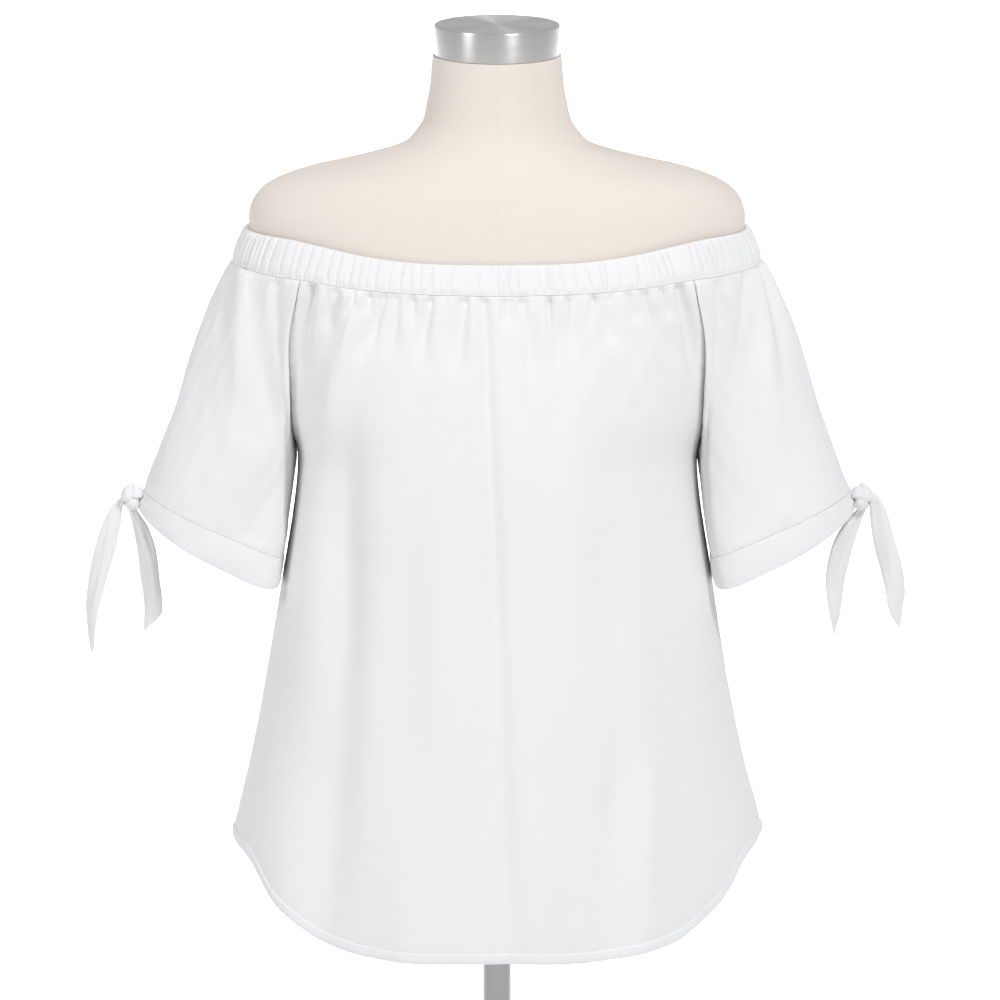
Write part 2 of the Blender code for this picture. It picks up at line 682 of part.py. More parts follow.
def cuff(name, side):
    around = np.linspace(-1, 1, SLEEVE_COLUMNS + 1)[:-1]
    upper = tilted_ring(around, CUFF_TOP_INNER, CUFF_TOP_OUTER, SLEEVE_HALF_DEPTH)
    lower = tilted_ring(around, CUFF_BOTTOM_INNER, CUFF_BOTTOM_OUTER, SLEEVE_HALF_DEPTH)
    lower[:, 2] -= CUFF_FRONT_DIP * np.abs(np.sin(np.pi * around)) ** 1.5
    slope = np.array(CUFF_TOP_OUTER) - np.array(CUFF_TOP_INNER)
    below = unit(np.array([slope[1], 0.0, -slope[0]]))
    upper_out = unit(upper - upper.mean(axis=0))
    lower_out = unit((lower - lower.mean(axis=0)) * np.array([1.0, 1.0, 0.5]))
    upper = upper + below * SEAM_GAP
    middle = (upper + lower) / 2 + upper_out * CUFF_SWELL
    profile = [upper, middle, lower, lower - lower_out * CUFF_WALL, upper - upper_out * CUFF_WALL]
    return ring_object(name, "cotton_white", np.stack(profile, axis=1) * np.array([side, 1.0, 1.0]))


def knot(name, side):
    """A tied knot: a rounded lump with two soft grooves where the bands cross."""
    rings = []
    for step in range(1, KNOT_RINGS + 1):
        tilt = math.pi * step / (KNOT_RINGS + 1)
        turn = np.linspace(0, 2 * math.pi, KNOT_SIDES, endpoint=False)
        size = 1 - KNOT_GROOVE * np.exp(-((np.sin(turn + tilt)) / KNOT_GROOVE_REACH) ** 2) * math.sin(tilt)
        x = math.sin(tilt) * np.cos(turn) * size * KNOT_HALF_SIZE[0]
        y = math.sin(tilt) * np.sin(turn) * size * KNOT_HALF_SIZE[1]
        z = np.full_like(x, math.cos(tilt) * KNOT_HALF_SIZE[2])
        ring = np.stack([x, y, z], axis=-1) + np.array(KNOT_CENTRE)
        rings.append(ring * np.array([side, 1.0, 1.0]))
    return stack_object(name, "cotton_white", rings)


def tie_tail(name, side, table):
    """A flat tie end that hangs from its knot and turns as it falls."""
    rings = []
    for row in table:
        tail = TailRow(*row)
        centre = np.array([tail.out * side, tail.back, tail.height]) * MM
        turned = math.radians(tail.turn * side)
        wide = np.array([math.cos(turned), math.sin(turned), 0.0])
        thick = np.array([-wide[1], wide[0], 0.0])
        curl = TAIL_CURL * tail.half_width / TAIL_WIDEST
        ring = []
        for share, face in ((-1, -1), (0, -1), (1, -1), (1, 1), (0, 1), (-1, 1)):
            point = centre + wide * share * tail.half_width * MM
            point = point + thick * (curl * share * share + face * TAIL_THICKNESS / 2)
            ring.append(point)
        rings.append(ring)
    return stack_object(name, "cotton_white", rings)


def form_torso():
    turn = np.linspace(0, 2 * math.pi, FORM_SIDES, endpoint=False)
    rings = []
    for row in FORM_SECTIONS:
        section = Section(*(value * MM for value in row))
        roundness = 2.0 if section.height > NECK_BOTTOM else ROUNDNESS
        x, y = oval(turn, section.half_width, section.front, section.back, roundness)
        rings.append(np.stack([x, y, np.full_like(x, section.height)], axis=-1))
    return stack_object("form_torso", "form_cream", rings)


def turned_part(name, outline):
    turn = np.linspace(0, 2 * math.pi, STAND_SIDES, endpoint=False)
    rings = []
    for radius, height in outline:
        rings.append(np.stack([radius * np.cos(turn), radius * np.sin(turn),
                               np.full_like(turn, height)], axis=-1))
    return stack_object(name, "brushed_steel", rings)


def rounded_disc(radius, bottom, top, edge):
    return (
        (radius - edge, bottom),
        (radius, bottom + edge),
        (radius, top - edge),
        (radius - 0.3 * edge, top - 0.3 * edge),
        (radius - edge, top),
    )


def build():
    clear_scene()
    neck_casing()
    panel("top_front", 1, FRONT_FOLDS)
    panel("top_back", -1, BACK_FOLDS)
    sleeve("sleeve_left", -1, LEFT_SLEEVE_FOLDS)
    sleeve("sleeve_right", 1, RIGHT_SLEEVE_FOLDS)
    for word, side in (("left", -1), ("right", 1)):
        cuff("cuff_" + word, side)
        knot("knot_" + word, side)
    tie_tail("tie_left_outer", -1, LEFT_OUTER_TAIL)
    tie_tail("tie_left_inner", -1, LEFT_INNER_TAIL)
    tie_tail("tie_right_outer", 1, RIGHT_OUTER_TAIL)
    tie_tail("tie_right_inner", 1, RIGHT_INNER_TAIL)
    form_torso()
    cap_bottom = NECK_TOP + SEAM_GAP
    pole_bottom = BASE_HEIGHT + SEAM_GAP
    pole_top = FORM_BOTTOM - SEAM_GAP
    turned_part("neck_cap", rounded_disc(CAP_RADIUS, cap_bottom, cap_bottom + CAP_HEIGHT, CAP_EDGE))
    turned_part("stand_pole", ((POLE_RADIUS, pole_bottom), (POLE_RADIUS, pole_top)))
    turned_part("stand_base", rounded_disc(BASE_RADIUS, 0.0, BASE_HEIGHT, BASE_EDGE))


build()
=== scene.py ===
"""The looks of the off-shoulder top on its dress form: gathered cotton, stitching, jersey and steel."""

import math
from collections import namedtuple

import bmesh
import bpy
import numpy as np
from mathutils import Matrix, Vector


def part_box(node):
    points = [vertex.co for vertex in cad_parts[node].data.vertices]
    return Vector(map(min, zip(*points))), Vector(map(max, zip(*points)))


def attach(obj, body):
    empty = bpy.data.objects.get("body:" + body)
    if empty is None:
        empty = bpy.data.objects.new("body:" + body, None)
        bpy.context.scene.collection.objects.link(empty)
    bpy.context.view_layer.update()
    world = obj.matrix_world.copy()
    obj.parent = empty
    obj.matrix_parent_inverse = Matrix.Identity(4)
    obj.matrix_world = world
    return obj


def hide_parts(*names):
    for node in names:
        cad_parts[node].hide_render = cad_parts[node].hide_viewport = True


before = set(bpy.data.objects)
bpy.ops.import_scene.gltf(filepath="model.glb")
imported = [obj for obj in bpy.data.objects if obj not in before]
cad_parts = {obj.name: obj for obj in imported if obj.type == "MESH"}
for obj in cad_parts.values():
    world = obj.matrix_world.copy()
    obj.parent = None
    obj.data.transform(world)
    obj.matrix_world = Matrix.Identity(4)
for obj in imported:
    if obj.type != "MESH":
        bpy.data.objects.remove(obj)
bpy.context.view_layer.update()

MM = 0.001
LEVEL = np.array([1.0, 1.0, 0.0])

# Cloth, as the frame has it
SEAM_GAP = 0.3 * MM
WALL = 1.1 * MM
ROUNDNESS = 2.2
HEM_BAND = 8.8 * MM
UNDERARM = 1034.0 * MM
HEM_CORNER = 712.0 * MM
HEM_LOWEST = 629.0 * MM
CASING_GATHERS = 132
CASING_HALF_WIDTH = 221.5 * MM
CASING_FRONT = 119.0 * MM
CASING_BACK = 111.0 * MM
CASING_TOP_HALF_WIDTH = 210.6 * MM
CASING_TOP_FRONT = 108.5 * MM
CASING_TOP_BACK = 104.5 * MM
CASING_SIDE_TOP = 1228.0 * MM
CASING_SIDE_BOTTOM = 1198.0 * MM
CASING_FRONT_DROP = 15.0 * MM
CASING_FRONT_DROP_BELOW = 11.5 * MM
CASING_FRONT_BOTTOM = 1189.0 * MM
CASING_BACK_DROP = 3.0 * MM
CASING_BACK_DROP_BELOW = 5.0 * MM
CASING_WALL = 2.3 * MM

Section = namedtuple("Section", "height half_width front back")
BODY_SECTIONS = (
    (620, 236.0, 162, 150),
    (712, 222.5, 156, 142),
    (774, 208.0, 151, 137),
    (842, 194.4, 147, 131),
    (928, 180.6, 141, 122),
    (1034, 167.5, 138, 117),
    (1081, 184.0, 134, 115),
    (1150, 204.0, 126, 113),
    (1190, 221.5, 119, 111),
)
SeamPoint = namedtuple("SeamPoint", "height half_width")
RAGLAN_SEAM = ((1034, 167.5), (1058, 171.5), (1081, 173.5), (1150, 173.0), (1193, 165.0))
HemPoint = namedtuple("HemPoint", "across rise")
HEM_CURVE = (
    (0.0, 0.0), (0.395, 0.016), (0.552, 0.086), (0.667, 0.194), (0.751, 0.351),
    (0.823, 0.518), (0.866, 0.657), (0.923, 0.85), (1.0, 1.0),
)

RisePoint = namedtuple("RisePoint", "across top bottom")
CASING_FRONT_RISE = (
    (0.0, 0.0, 0.0), (0.37, 0.12, 0.13), (0.56, 0.42, 0.36), (0.70, 0.75, 0.66),
    (0.87, 1.02, 0.80), (1.0, 1.0, 1.0),
)

FOLD_FADE_OUT = 0.45
FOLD_FADE_IN = 0.3
FOLD_NARROWING = 0.6
FOLD_WIDENING = 1.2
FOLD_STEEP_SIDE = 0.65
FOLD_SOFT_SIDE = 1.4
SHORT_FOLD_END = 1090.0 * MM
Fold = namedtuple("Fold", "top_x middle_x bottom_x top bottom reach height")
FRONT_FOLDS = (
    (-152, -162, -167, 1198, 1100, 6.0, -5.0),
    (-130, -137, -143, 1198, 1150, 5.0, -3.0),
    (-115, -127, -136, 1198, 1130, 5.0, -3.5),
    (-102, -108, -113, 1198, 1165, 4.5, -2.5),
    (-90, -101, -111, 1198, 1130, 5.0, -3.5),
    (-80, -85, -90, 1198, 1128, 5.0, -2.5),
    (-67, -70, -72, 1198, 1160, 4.5, -2.5),
    (-51, -60, -66, 1198, 1120, 5.0, -3.5),
    (-24, -30, -34, 1198, 1112, 6.0, -3.5),
    (-12, 2, 10, 1198, 500, 7.0, -4.0),
    (4, 6, 7, 1198, 1155, 4.5, -2.5),
    (18, 25, 30, 1198, 1100, 5.5, -3.5),
    (41, 48, 54, 1198, 1105, 5.5, -3.5),
    (57, 60, 66, 1198, 1128, 4.5, -2.5),
    (77, 88, 98, 1198, 1135, 5.5, -3.5),
    (104, 112, 121, 1198, 1158, 5.0, -2.5),
    (118, 133, 146, 1198, 1122, 5.5, -3.5),
    (134, 141, 147, 1198, 1160, 5.0, -2.5),
    (150, 161, 166, 1198, 1100, 6.0, -5.0),
    (-122, -150, -184, 1198, 800, 14.0, 6.0),
    (-126, -135, -163, 1130, 500, 17.0, -8.0),
    (104, 97, 90, 860, 500, 16.0, -5.0),
    (128, 123, 118, 820, 500, 14.0, 4.0),
)
BACK_FOLDS = (
    (-150, -160, -166, 1198, 1096, 6.0, -4.5),
    (-133, -139, -146, 1198, 1152, 5.0, -3.0),
    (-117, -125, -132, 1198, 1124, 5.5, -3.5),
    (-99, -105, -112, 1198, 1160, 4.5, -2.5),
    (-84, -94, -103, 1198, 1118, 5.5, -3.5),
    (-66, -70, -75, 1198, 1150, 5.0, -3.0),
    (-49, -56, -60, 1198, 1106, 5.5, -3.5),
    (-31, -34, -36, 1198, 1158, 4.5, -2.5),
    (-13, -18, -24, 1198, 500, 8.0, -4.5),
    (6, 7, 9, 1198, 1140, 5.0, -3.0),
    (24, 28, 34, 1198, 1112, 5.5, -3.5),
    (42, 47, 50, 1198, 1158, 4.5, -2.5),
    (61, 70, 80, 1198, 1120, 5.5, -3.5),
    (80, 85, 91, 1198, 1150, 5.0, -3.0),
    (98, 110, 120, 1198, 1126, 5.5, -3.5),
    (115, 121, 128, 1198, 1162, 4.5, -2.5),
    (132, 141, 148, 1198, 1130, 5.0, -3.5),
    (150, 161, 166, 1198, 1098, 6.0, -4.5),
    (104, 122, 146, 1090, 500, 17.0, -7.0),
    (-88, -98, -104, 900, 500, 17.0, -5.5),
)

# Sleeves
SLEEVE_HALF_DEPTH = 58.0 * MM
SLEEVE_BULGE = 4.0 * MM
SLEEVE_OUTER_AT_UNDERARM = (265.0 * MM, 1092.0 * MM)
CUFF_TOP_INNER = (178.5 * MM, 953.0 * MM)
CUFF_TOP_OUTER = (297.0 * MM, 1004.5 * MM)
INNER_SQUARENESS = 6.0
SHOULDER_IN = 60.0 * MM
SEAM_VALLEY = 3
UNDERARM_TUCK = 7
SMOOTHING_ROUNDS = 160
SEAM_PROBE = 0.02
SEAM_ROUNDS = 6
SleeveFold = namedtuple("SleeveFold", "top_around bottom_around top_down bottom_down reach height")
LEFT_SLEEVE_FOLDS = (
    (-0.80, -0.82, -0.1, 0.60, 0.06, -3.0),
    (-0.84, -0.86, 0.50, 1.90, 0.08, -6.0),
    (-0.45, -0.60, -0.1, 1.80, 0.09, 4.0),
    (-0.50, -0.42, 0.80, 2.10, 0.07, 3.5),
    (-0.25, -0.32, -0.1, 0.60, 0.06, -2.5),
    (0.12, 0.15, -0.1, 0.90, 0.07, -3.0),
    (0.31, 0.33, -0.1, 1.30, 0.07, -3.5),
    (0.55, 0.50, -0.1, 1.60, 0.08, 4.0),
    (0.80, 0.83, -0.1, 1.10, 0.06, -4.0),
)
RIGHT_SLEEVE_FOLDS = (
    (-0.78, -0.80, -0.1, 0.70, 0.06, -3.0),
    (-0.84, -0.84, 0.50, 1.80, 0.08, -5.0),
    (-0.48, -0.55, -0.1, 0.70, 0.06, -3.5),
    (-0.33, -0.46, -0.1, 1.70, 0.08, 4.0),
    (-0.18, -0.34, -0.1, 1.00, 0.06, -3.5),
    (-0.10, -0.12, -0.1, 0.90, 0.06, 2.0),
    (0.24, 0.27, -0.1, 1.20, 0.07, -3.5),
    (0.52, 0.56, -0.1, 1.50, 0.08, 3.5),
    (0.79, 0.82, -0.1, 1.00, 0.06, -4.0),
)

# Cuffs, knots and tie tails
CUFF_WALL = 1.7 * MM
CUFF_BOTTOM_INNER = (182.0 * MM, 930.0 * MM)
CUFF_BOTTOM_OUTER = (301.5 * MM, 989.0 * MM)
CUFF_FRONT_DIP = 9.0 * MM
CUFF_HALF_ROUND = 190.0 * MM
CUFF_COLUMNS = 240
CUFF_ROWS = 15
CUFF_STITCH_LEVELS = (0.12, 0.88)
TAIL_FOLD = 1.5 * MM
TAIL_CURL = 2.4 * MM
TAIL_SLANT = 3.0 * MM
TAIL_ROWS = 72
TAIL_COLUMNS = 25
TAIL_STITCH_SPACING = 2.6 * MM
KNOT_BAND = 4.6 * MM
KNOT_STEPS = 168
KNOT_SIDES = 26
KNOT_CENTRE = (306.2 * MM, -3.5 * MM, 999.0 * MM)
KNOT_HALF_SIZE = (10.4 * MM, 11.0 * MM, 12.2 * MM)
TailRow = namedtuple("TailRow", "out back height half_width turn")
WalkedTailRow = namedtuple("WalkedTailRow", ("way", *TailRow._fields))
TAILS = {
    "tie_left_outer": (-1, (
        (312.5, -4, 999, 3.0, 0), (317.5, -4, 993, 4.2, 0), (323.5, -5, 977, 7.5, 10),
        (331.0, -6, 950, 9.2, 18), (338.3, -6, 923, 9.2, 38), (341.8, -5, 896, 8.0, 56),
        (341.6, -4, 879, 5.0, 60), (340.2, -3, 868, 2.4, 60),
    )),
    "tie_left_inner": (-1, (
        (308.0, -4, 997, 3.0, 0), (306.2, -4, 988, 3.8, 0), (300.5, -5, 975, 6.4, 8),
        (295.5, -6, 957, 8.2, 12), (292.3, -6, 930, 8.6, 18), (289.5, -5, 904, 8.6, 24),
        (292.5, -4, 891, 5.6, 26), (295.5, -4, 884, 1.4, 26),
    )),
    "tie_right_outer": (1, (
        (309.5, -8, 1006, 4.0, 0), (316.0, -8, 999, 5.0, 0), (320.6, -6, 984, 7.6, 4),
        (325.2, -7, 962, 9.4, 8), (331.0, -7, 941, 9.8, 10), (335.6, -6, 921, 9.8, 30),
        (337.0, -5, 900, 7.4, 48), (339.0, -4, 891, 1.6, 50),
    )),
    "tie_right_inner": (1, (
        (308.5, -3, 997, 3.0, 0), (306.0, -3, 988, 4.0, 0), (299.5, -4, 977, 7.0, 8),
        (292.5, -5, 962, 9.2, 12), (287.6, -5, 943, 9.6, 16), (285.2, -4, 922, 9.4, 34),
        (285.4, -3, 900, 8.2, 55), (284.3, -2, 884, 1.6, 58),
    )),
}

# Dress form and stand
FORM_SECTIONS = (
    (720, 152, 115, 110),
    (780, 149, 112, 106),
    (840, 135, 101, 94),
    (900, 127, 93, 85),
    (960, 132, 96, 86),
    (1010, 141, 106, 92),
    (1060, 151, 115, 98),
    (1110, 167, 116, 103),
    (1160, 189, 112, 105),
    (1200, 203, 106.5, 102.5),
    (1217, 206.6, 103.0, 101.0),
    (1229, 208.0, 100.0, 99.5),
    (1247, 206.6, 95, 97),
    (1258, 200.0, 91, 95),
    (1266, 190.0, 88, 93),
    (1275, 165.5, 83, 90),
    (1284, 123.5, 76, 85),
    (1294, 88.0, 69, 79),
    (1311, 67.0, 61, 68),
    (1336, 58.5, 56.5, 59.5),
    (1374, 54.0, 54, 54),
)
NECK_BOTTOM = 1300.0 * MM
NECK_TOP = 1374.0 * MM
FORM_BOTTOM = 720.0 * MM
FORM_COLUMNS = 200
FORM_ROWS = 130
NECK_ROUNDING = 40.0 * MM
NECK_SEAM = 1291.0 * MM
NECK_SEAM_DIP = 12.0 * MM

# Fine work on the cloth
PANEL_COLUMNS = 340
ARMHOLE_ROWS = 58
BODY_ROWS = 44
SLEEVE_COLUMNS = 168
TUBE_ROWS = 44
ROW_CROWDING = 1.15
CASING_STEPS = 14
CASING_LEVELS = (0.0, 0.02, 0.07, 0.16, 0.27, 0.38, 0.5, 0.62, 0.73, 0.81, 0.87, 0.905, 0.94, 0.975, 1.0)
CASING_STITCH_LEVEL = 0.905
CASING_RELIEF = 2.5 * MM
CASING_FLOOR = -0.6 * MM
SMOOTH_STRETCH = 160.0 * MM
VALLEY_REACH = 1.15 * MM
SEAM_DIP = 0.6 * MM
SEAM_DIP_REACH = 2.6 * MM
SEAM_BLEND = 6.0 * MM
HEM_LEVELS = (9.8, 9.1, 8.8, 8.5, 8.0, 7.0, 5.8, 4.4, 3.0, 1.8, 0.8, 0.0)
HEM_STITCH_LEVEL = 7.0
HEM_APPROACH = 11.0 * MM
HEM_RAISE = 1.0 * MM
HEM_DENT = 0.3 * MM
HEM_PUCKER = 0.2 * MM
ROPING_PITCH = 7.0 * MM
ROPING_HEIGHT = 0.45 * MM
TOP_FULLNESS = 0.12
BLOUSING = 2.0 * MM
BLOUSING_WAY = 8.0 * MM
FOLD_DEEPENING = 1.25
PUCKER_PITCH = 7.4 * MM
Pucker = namedtuple("Pucker", "pitches height reach seed_step")
PANEL_PUCKERS = ((1.0, 2.0, 11, 0), (2.1, 2.2, 26, 9))
SLEEVE_PUCKERS = ((1.0, 1.6, 10, 0), (2.4, 2.0, 24, 9))
STITCH_SPACING = 3.1 * MM
STITCH_LENGTH = 2.3 * MM
STITCH_THICKNESS = 0.42 * MM
STITCH_DENT = 0.3 * MM
CLOTH_SHARP = 50.0

# The camera: real size of a photo pixel, and where the photo's middle looks
PHOTO_SIDE = 1000
PIXEL = 0.84 * MM
CAMERA_ELEVATION = 10.0
CAMERA_LENS = 1000.0
SENSOR = 36.0
VIEW_CENTRE = (2.5 * MM, 0.0, 995.3 * MM)

# Studio light: each lamp's name, place, aim, side length in metres, power in watts and spread in degrees
WORLD_LIGHT = 0.50
LAMPS = (
    ("key", (1.7, -2.7, 4.1), VIEW_CENTRE, 0.8, 88.0, 180.0),
    ("fill", (-3.0, -2.0, 3.0), VIEW_CENTRE, 1.0, 36.0, 180.0),
    ("backdrop", (0.0, 6.0, 4.5), (0.0, 6.0, 0.0), 7.0, 430.0, 90.0),
)


def smooth_value(kind, rows, column, at):
    """Read a named column of a table at a value of its first column, on a smooth curve through the rows."""
    xs = np.array([row[0] for row in rows], float)
    ys = np.array([getattr(kind(*row), column) for row in rows], float)
    at = np.clip(np.asarray(at, float), xs[0], xs[-1])
    step = np.diff(xs)
    rise = np.diff(ys) / step
    slope = np.empty_like(ys)
    slope[0] = rise[0]
    slope[-1] = rise[-1]
    slope[1:-1] = (rise[:-1] * step[1:] + rise[1:] * step[:-1]) / (step[:-1] + step[1:])
    turn = rise[:-1] * rise[1:] <= 0
    slope[1:-1][turn] = 0.0
    i = np.clip(np.searchsorted(xs, at) - 1, 0, len(xs) - 2)
    t = (at - xs[i]) / step[i]
    start = (1 + 2 * t) * (1 - t) ** 2 * ys[i] + t * (1 - t) ** 2 * step[i] * slope[i]
    end = t * t * (3 - 2 * t) * ys[i + 1] + t * t * (t - 1) * step[i] * slope[i + 1]
    return start + end


def ease(value):
    value = np.clip(value, 0.0, 1.0)
    return value * value * (3 - 2 * value)


def unit(vectors):
    return vectors / np.maximum(np.linalg.norm(vectors, axis=-1, keepdims=True), 1e-9)


def oval(angle, half_width, front, back, roundness=ROUNDNESS):
    across = np.sign(np.sin(angle)) * np.abs(np.sin(angle)) ** (2 / roundness)
    along = np.sign(np.cos(angle)) * np.abs(np.cos(angle)) ** (2 / roundness)
    depth = np.where(np.cos(angle) > 0, front, back)
    return across * half_width, -along * depth


def casing_heights(angle):
    """The heights of the casing's top and bottom edges, which dip more in front than behind."""
    across = np.abs(np.sin(angle)) ** (2 / ROUNDNESS)
    side = across ** 4
    is_front = np.cos(angle) > 0
    top_rise = smooth_value(RisePoint, CASING_FRONT_RISE, "top", across)
    bottom_rise = smooth_value(RisePoint, CASING_FRONT_RISE, "bottom", across)
    bottom_end = CASING_FRONT_BOTTOM + CASING_FRONT_DROP_BELOW
    top = np.where(is_front, CASING_SIDE_TOP - CASING_FRONT_DROP * (1 - top_rise),
                   CASING_SIDE_TOP - CASING_BACK_DROP * (1 - side))
    bottom = np.where(is_front, bottom_end - CASING_FRONT_DROP_BELOW * (1 - bottom_rise),
                      bottom_end - CASING_BACK_DROP_BELOW * (1 - side))
    return top, bottom


def body_point(angle, height):
    half_width, front, back = (
        smooth_value(Section, BODY_SECTIONS, column, height / MM) * MM
        for column in ("half_width", "front", "back")
    )
    x, y = oval(angle, half_width, front, back)
    return np.stack([x, y, height], axis=-1)


def seam_angle(height):
    half_width = smooth_value(Section, BODY_SECTIONS, "half_width", height / MM)
    seam = smooth_value(SeamPoint, RAGLAN_SEAM, "half_width", height / MM)
    share = np.clip(seam / half_width, 0.0, 1.0)
    return np.arcsin(share ** (ROUNDNESS / 2))


def raglan_seam(levels, facing):
    """The raglan seam's points on the right side; facing is 1 at the front and -1 at the back."""
    height = np.full(len(levels), UNDERARM)
    for _ in range(SEAM_ROUNDS):
        angle = seam_angle(height)
        turned = angle if facing > 0 else math.pi - angle
        height = casing_heights(turned)[1] * (1 - levels) + UNDERARM * levels
    return body_point(turned, height)


def seam_frames(levels, facing):
    """The seam's points, the outward directions there and the directions from body to sleeve."""
    points = raglan_seam(levels, facing)
    probe = np.array([-1.0, -1.0 + SEAM_PROBE, 1.0 - SEAM_PROBE, 1.0])
    sleeve_side = sleeve_rings(probe, levels, ())[:, 1 if facing > 0 else 2]
    tangent = unit(np.gradient(points, axis=0))
    angle = seam_angle(points[:, 2]) - SEAM_PROBE
    to_body = body_point(angle if facing > 0 else math.pi - angle, points[:, 2]) - points
    to_sleeve = sleeve_side - points
    to_body = unit(to_body - tangent * np.sum(to_body * tangent, axis=1, keepdims=True))
    to_sleeve = unit(to_sleeve - tangent * np.sum(to_sleeve * tangent, axis=1, keepdims=True))
    across = unit(to_sleeve - to_body)
    outward = unit(np.cross(tangent, across))
    hint = np.stack([np.abs(to_body[:, 1]), -facing * np.abs(to_body[:, 0]), 0 * levels], axis=1)
    hint = hint * (1 - levels[:, None] ** 3) + levels[:, None] * np.array([0.0, 0.0, -1.0])
    outward = outward * np.where(np.sum(outward * hint, axis=1, keepdims=True) > 0, 1.0, -1.0)
    down = ease((levels[:, None] - 0.9) / 0.1)
    outward = unit(outward * (1 - down) + np.array([0.0, 0.0, -1.0]) * down)
    across = unit(across * (1 - down) + np.array([1.0, 0.0, 0.0]) * down)
    outward[0] = unit(outward[0] * LEVEL)
    return points, outward, across


def tilted_ring(around, inner_point, outer_point, half_depth):
    low = np.array([inner_point[0], 0.0, inner_point[1]])
    high = np.array([outer_point[0], 0.0, outer_point[1]])
    centre = (low + high) / 2
    reach = (high - low) / 2
    turn = np.pi * np.asarray(around)[:, None]
    power = np.where(np.cos(turn) < 0, 2 / INNER_SQUARENESS, 1.0)
    along = np.sign(np.cos(turn)) * np.abs(np.cos(turn)) ** power
    across = np.sign(np.sin(turn)) * np.abs(np.sin(turn)) ** power
    return centre + along * reach + across * np.array([0.0, half_depth, 0.0])


def sleeve_rings(around, levels, tube_levels):
    """The sleeve's rows on the right side, from the casing to the underarm and on to the cuff."""
    front_seam = raglan_seam(levels, 1)
    back_seam = raglan_seam(levels, -1)
    top = np.array([0.0])
    front_angle = float(seam_angle(raglan_seam(top, 1)[0, 2]))
    back_angle = float(seam_angle(raglan_seam(top, -1)[0, 2]))
    quarter = np.where(around < 0, math.pi / 2 - front_angle, math.pi / 2 - back_angle)
    angle = math.pi / 2 + around * quarter
    x, y = oval(angle, CASING_HALF_WIDTH, CASING_FRONT, CASING_BACK)
    casing = np.stack([x, y, casing_heights(angle)[1]], axis=-1)
    crotch = (float(raglan_seam(np.array([1.0]), 1)[0, 0]), UNDERARM)
    underarm = tilted_ring(around, crotch, SLEEVE_OUTER_AT_UNDERARM, SLEEVE_HALF_DEPTH)
    rows = []
    for i, level in enumerate(levels):
        row = casing * (1 - level) + underarm * level
        bulge = SLEEVE_BULGE * math.sin(math.pi * level) * np.cos(around * math.pi / 2) ** 2
        row = row + bulge[:, None] * np.array([1.0, 0.0, 0.3])
        valley = SEAM_VALLEY + UNDERARM_TUCK * level ** 2
        front_share = ((1 - around) / 2) ** valley
        back_share = ((1 + around) / 2) ** valley
        to_front = front_seam[i] - row[0]
        to_back = back_seam[i] - row[-1]
        row = row + front_share[:, None] * to_front + back_share[:, None] * to_back
        rows.append(row)
    for level in tube_levels:
        low = np.array(crotch) * (1 - level) + np.array(CUFF_TOP_INNER) * level
        high = np.array(SLEEVE_OUTER_AT_UNDERARM) * (1 - level) + np.array(CUFF_TOP_OUTER) * level
        rows.append(tilted_ring(around, low, high, SLEEVE_HALF_DEPTH))
    return np.array(rows)


def fold_height(table, x, z):
    """How far the folds in a table move the cloth out, at places given by x and height."""
    total = np.zeros_like(x)
    for row in table:
        fold = Fold(*(value * MM for value in row))
        t = (fold.top - z) / (fold.top - fold.bottom)
        inside = np.clip(t, 0.0, 1.0)
        bend = 2 * fold.middle_x - 0.5 * (fold.top_x + fold.bottom_x)
        centre = (1 - inside) ** 2 * fold.top_x + 2 * inside * (1 - inside) * bend
        centre = centre + inside ** 2 * fold.bottom_x
        strength = ease((1 - t) / FOLD_FADE_OUT)
        if fold.top < CASING_SIDE_BOTTOM:
            strength = strength * ease(t / FOLD_FADE_IN)
        reach = fold.reach * (FOLD_NARROWING + FOLD_WIDENING * inside)
        if fold.bottom > SHORT_FOLD_END:
            steep = (x > centre) == (fold.top_x < 0)
            reach = reach * np.where(steep, FOLD_STEEP_SIDE, FOLD_SOFT_SIDE)
        total += fold.height * strength * np.exp(-((x - centre) / reach) ** 2)
    return total


def sleeve_fold_height(table, around, down):
    total = np.zeros(np.broadcast(around, down).shape)
    for row in table:
        fold = SleeveFold(*row)
        t = (down - fold.top_down) / (fold.bottom_down - fold.top_down)
        inside = np.clip(t, 0.0, 1.0)
        centre = fold.top_around * (1 - inside) + fold.bottom_around * inside
        strength = ease((1 - t) / FOLD_FADE_OUT)
        if fold.top_down > 0:
            strength = strength * ease(t / FOLD_FADE_IN)
        total += fold.height * MM * strength * np.exp(-((around - centre) / fold.reach) ** 2)
    return total


def soft_waves(x, z, across, down, height, seed):
    """Smooth uneven relief: sine waves of about the given lengths across and down."""
    chance = np.random.RandomState(seed)
    total = np.zeros(np.broadcast(x, z).shape)
    for _ in range(9):
        wide = 2 * math.pi / (across * chance.uniform(0.6, 1.7)) * chance.choice([-1.0, 1.0])
        tall = 2 * math.pi / (down * chance.uniform(0.6, 1.7))
        total += np.sin(wide * x + tall * z + chance.uniform(0, 2 * math.pi))
    return height * total / 3.0


def puckers(along, depth, length, pitch, height, reach, seed):
    """Short gathers below a seam: along runs along the seam, depth is the way down from it."""
    chance = np.random.RandomState(seed)
    total = np.zeros(np.broadcast(along, depth).shape)
    place = -length / 2
    while place < length / 2:
        size = height * chance.uniform(0.45, 1.25)
        fade = reach * chance.uniform(0.5, 1.8)
        lean = chance.uniform(-0.12, 0.12)
        wide = pitch * chance.uniform(0.26, 0.38)
        centre = place + lean * depth
        total -= size * np.exp(-np.clip(depth, 0, None) / fade) * np.exp(-((along - centre) / wide) ** 2)
        place += pitch * chance.uniform(0.75, 1.3)
    return total


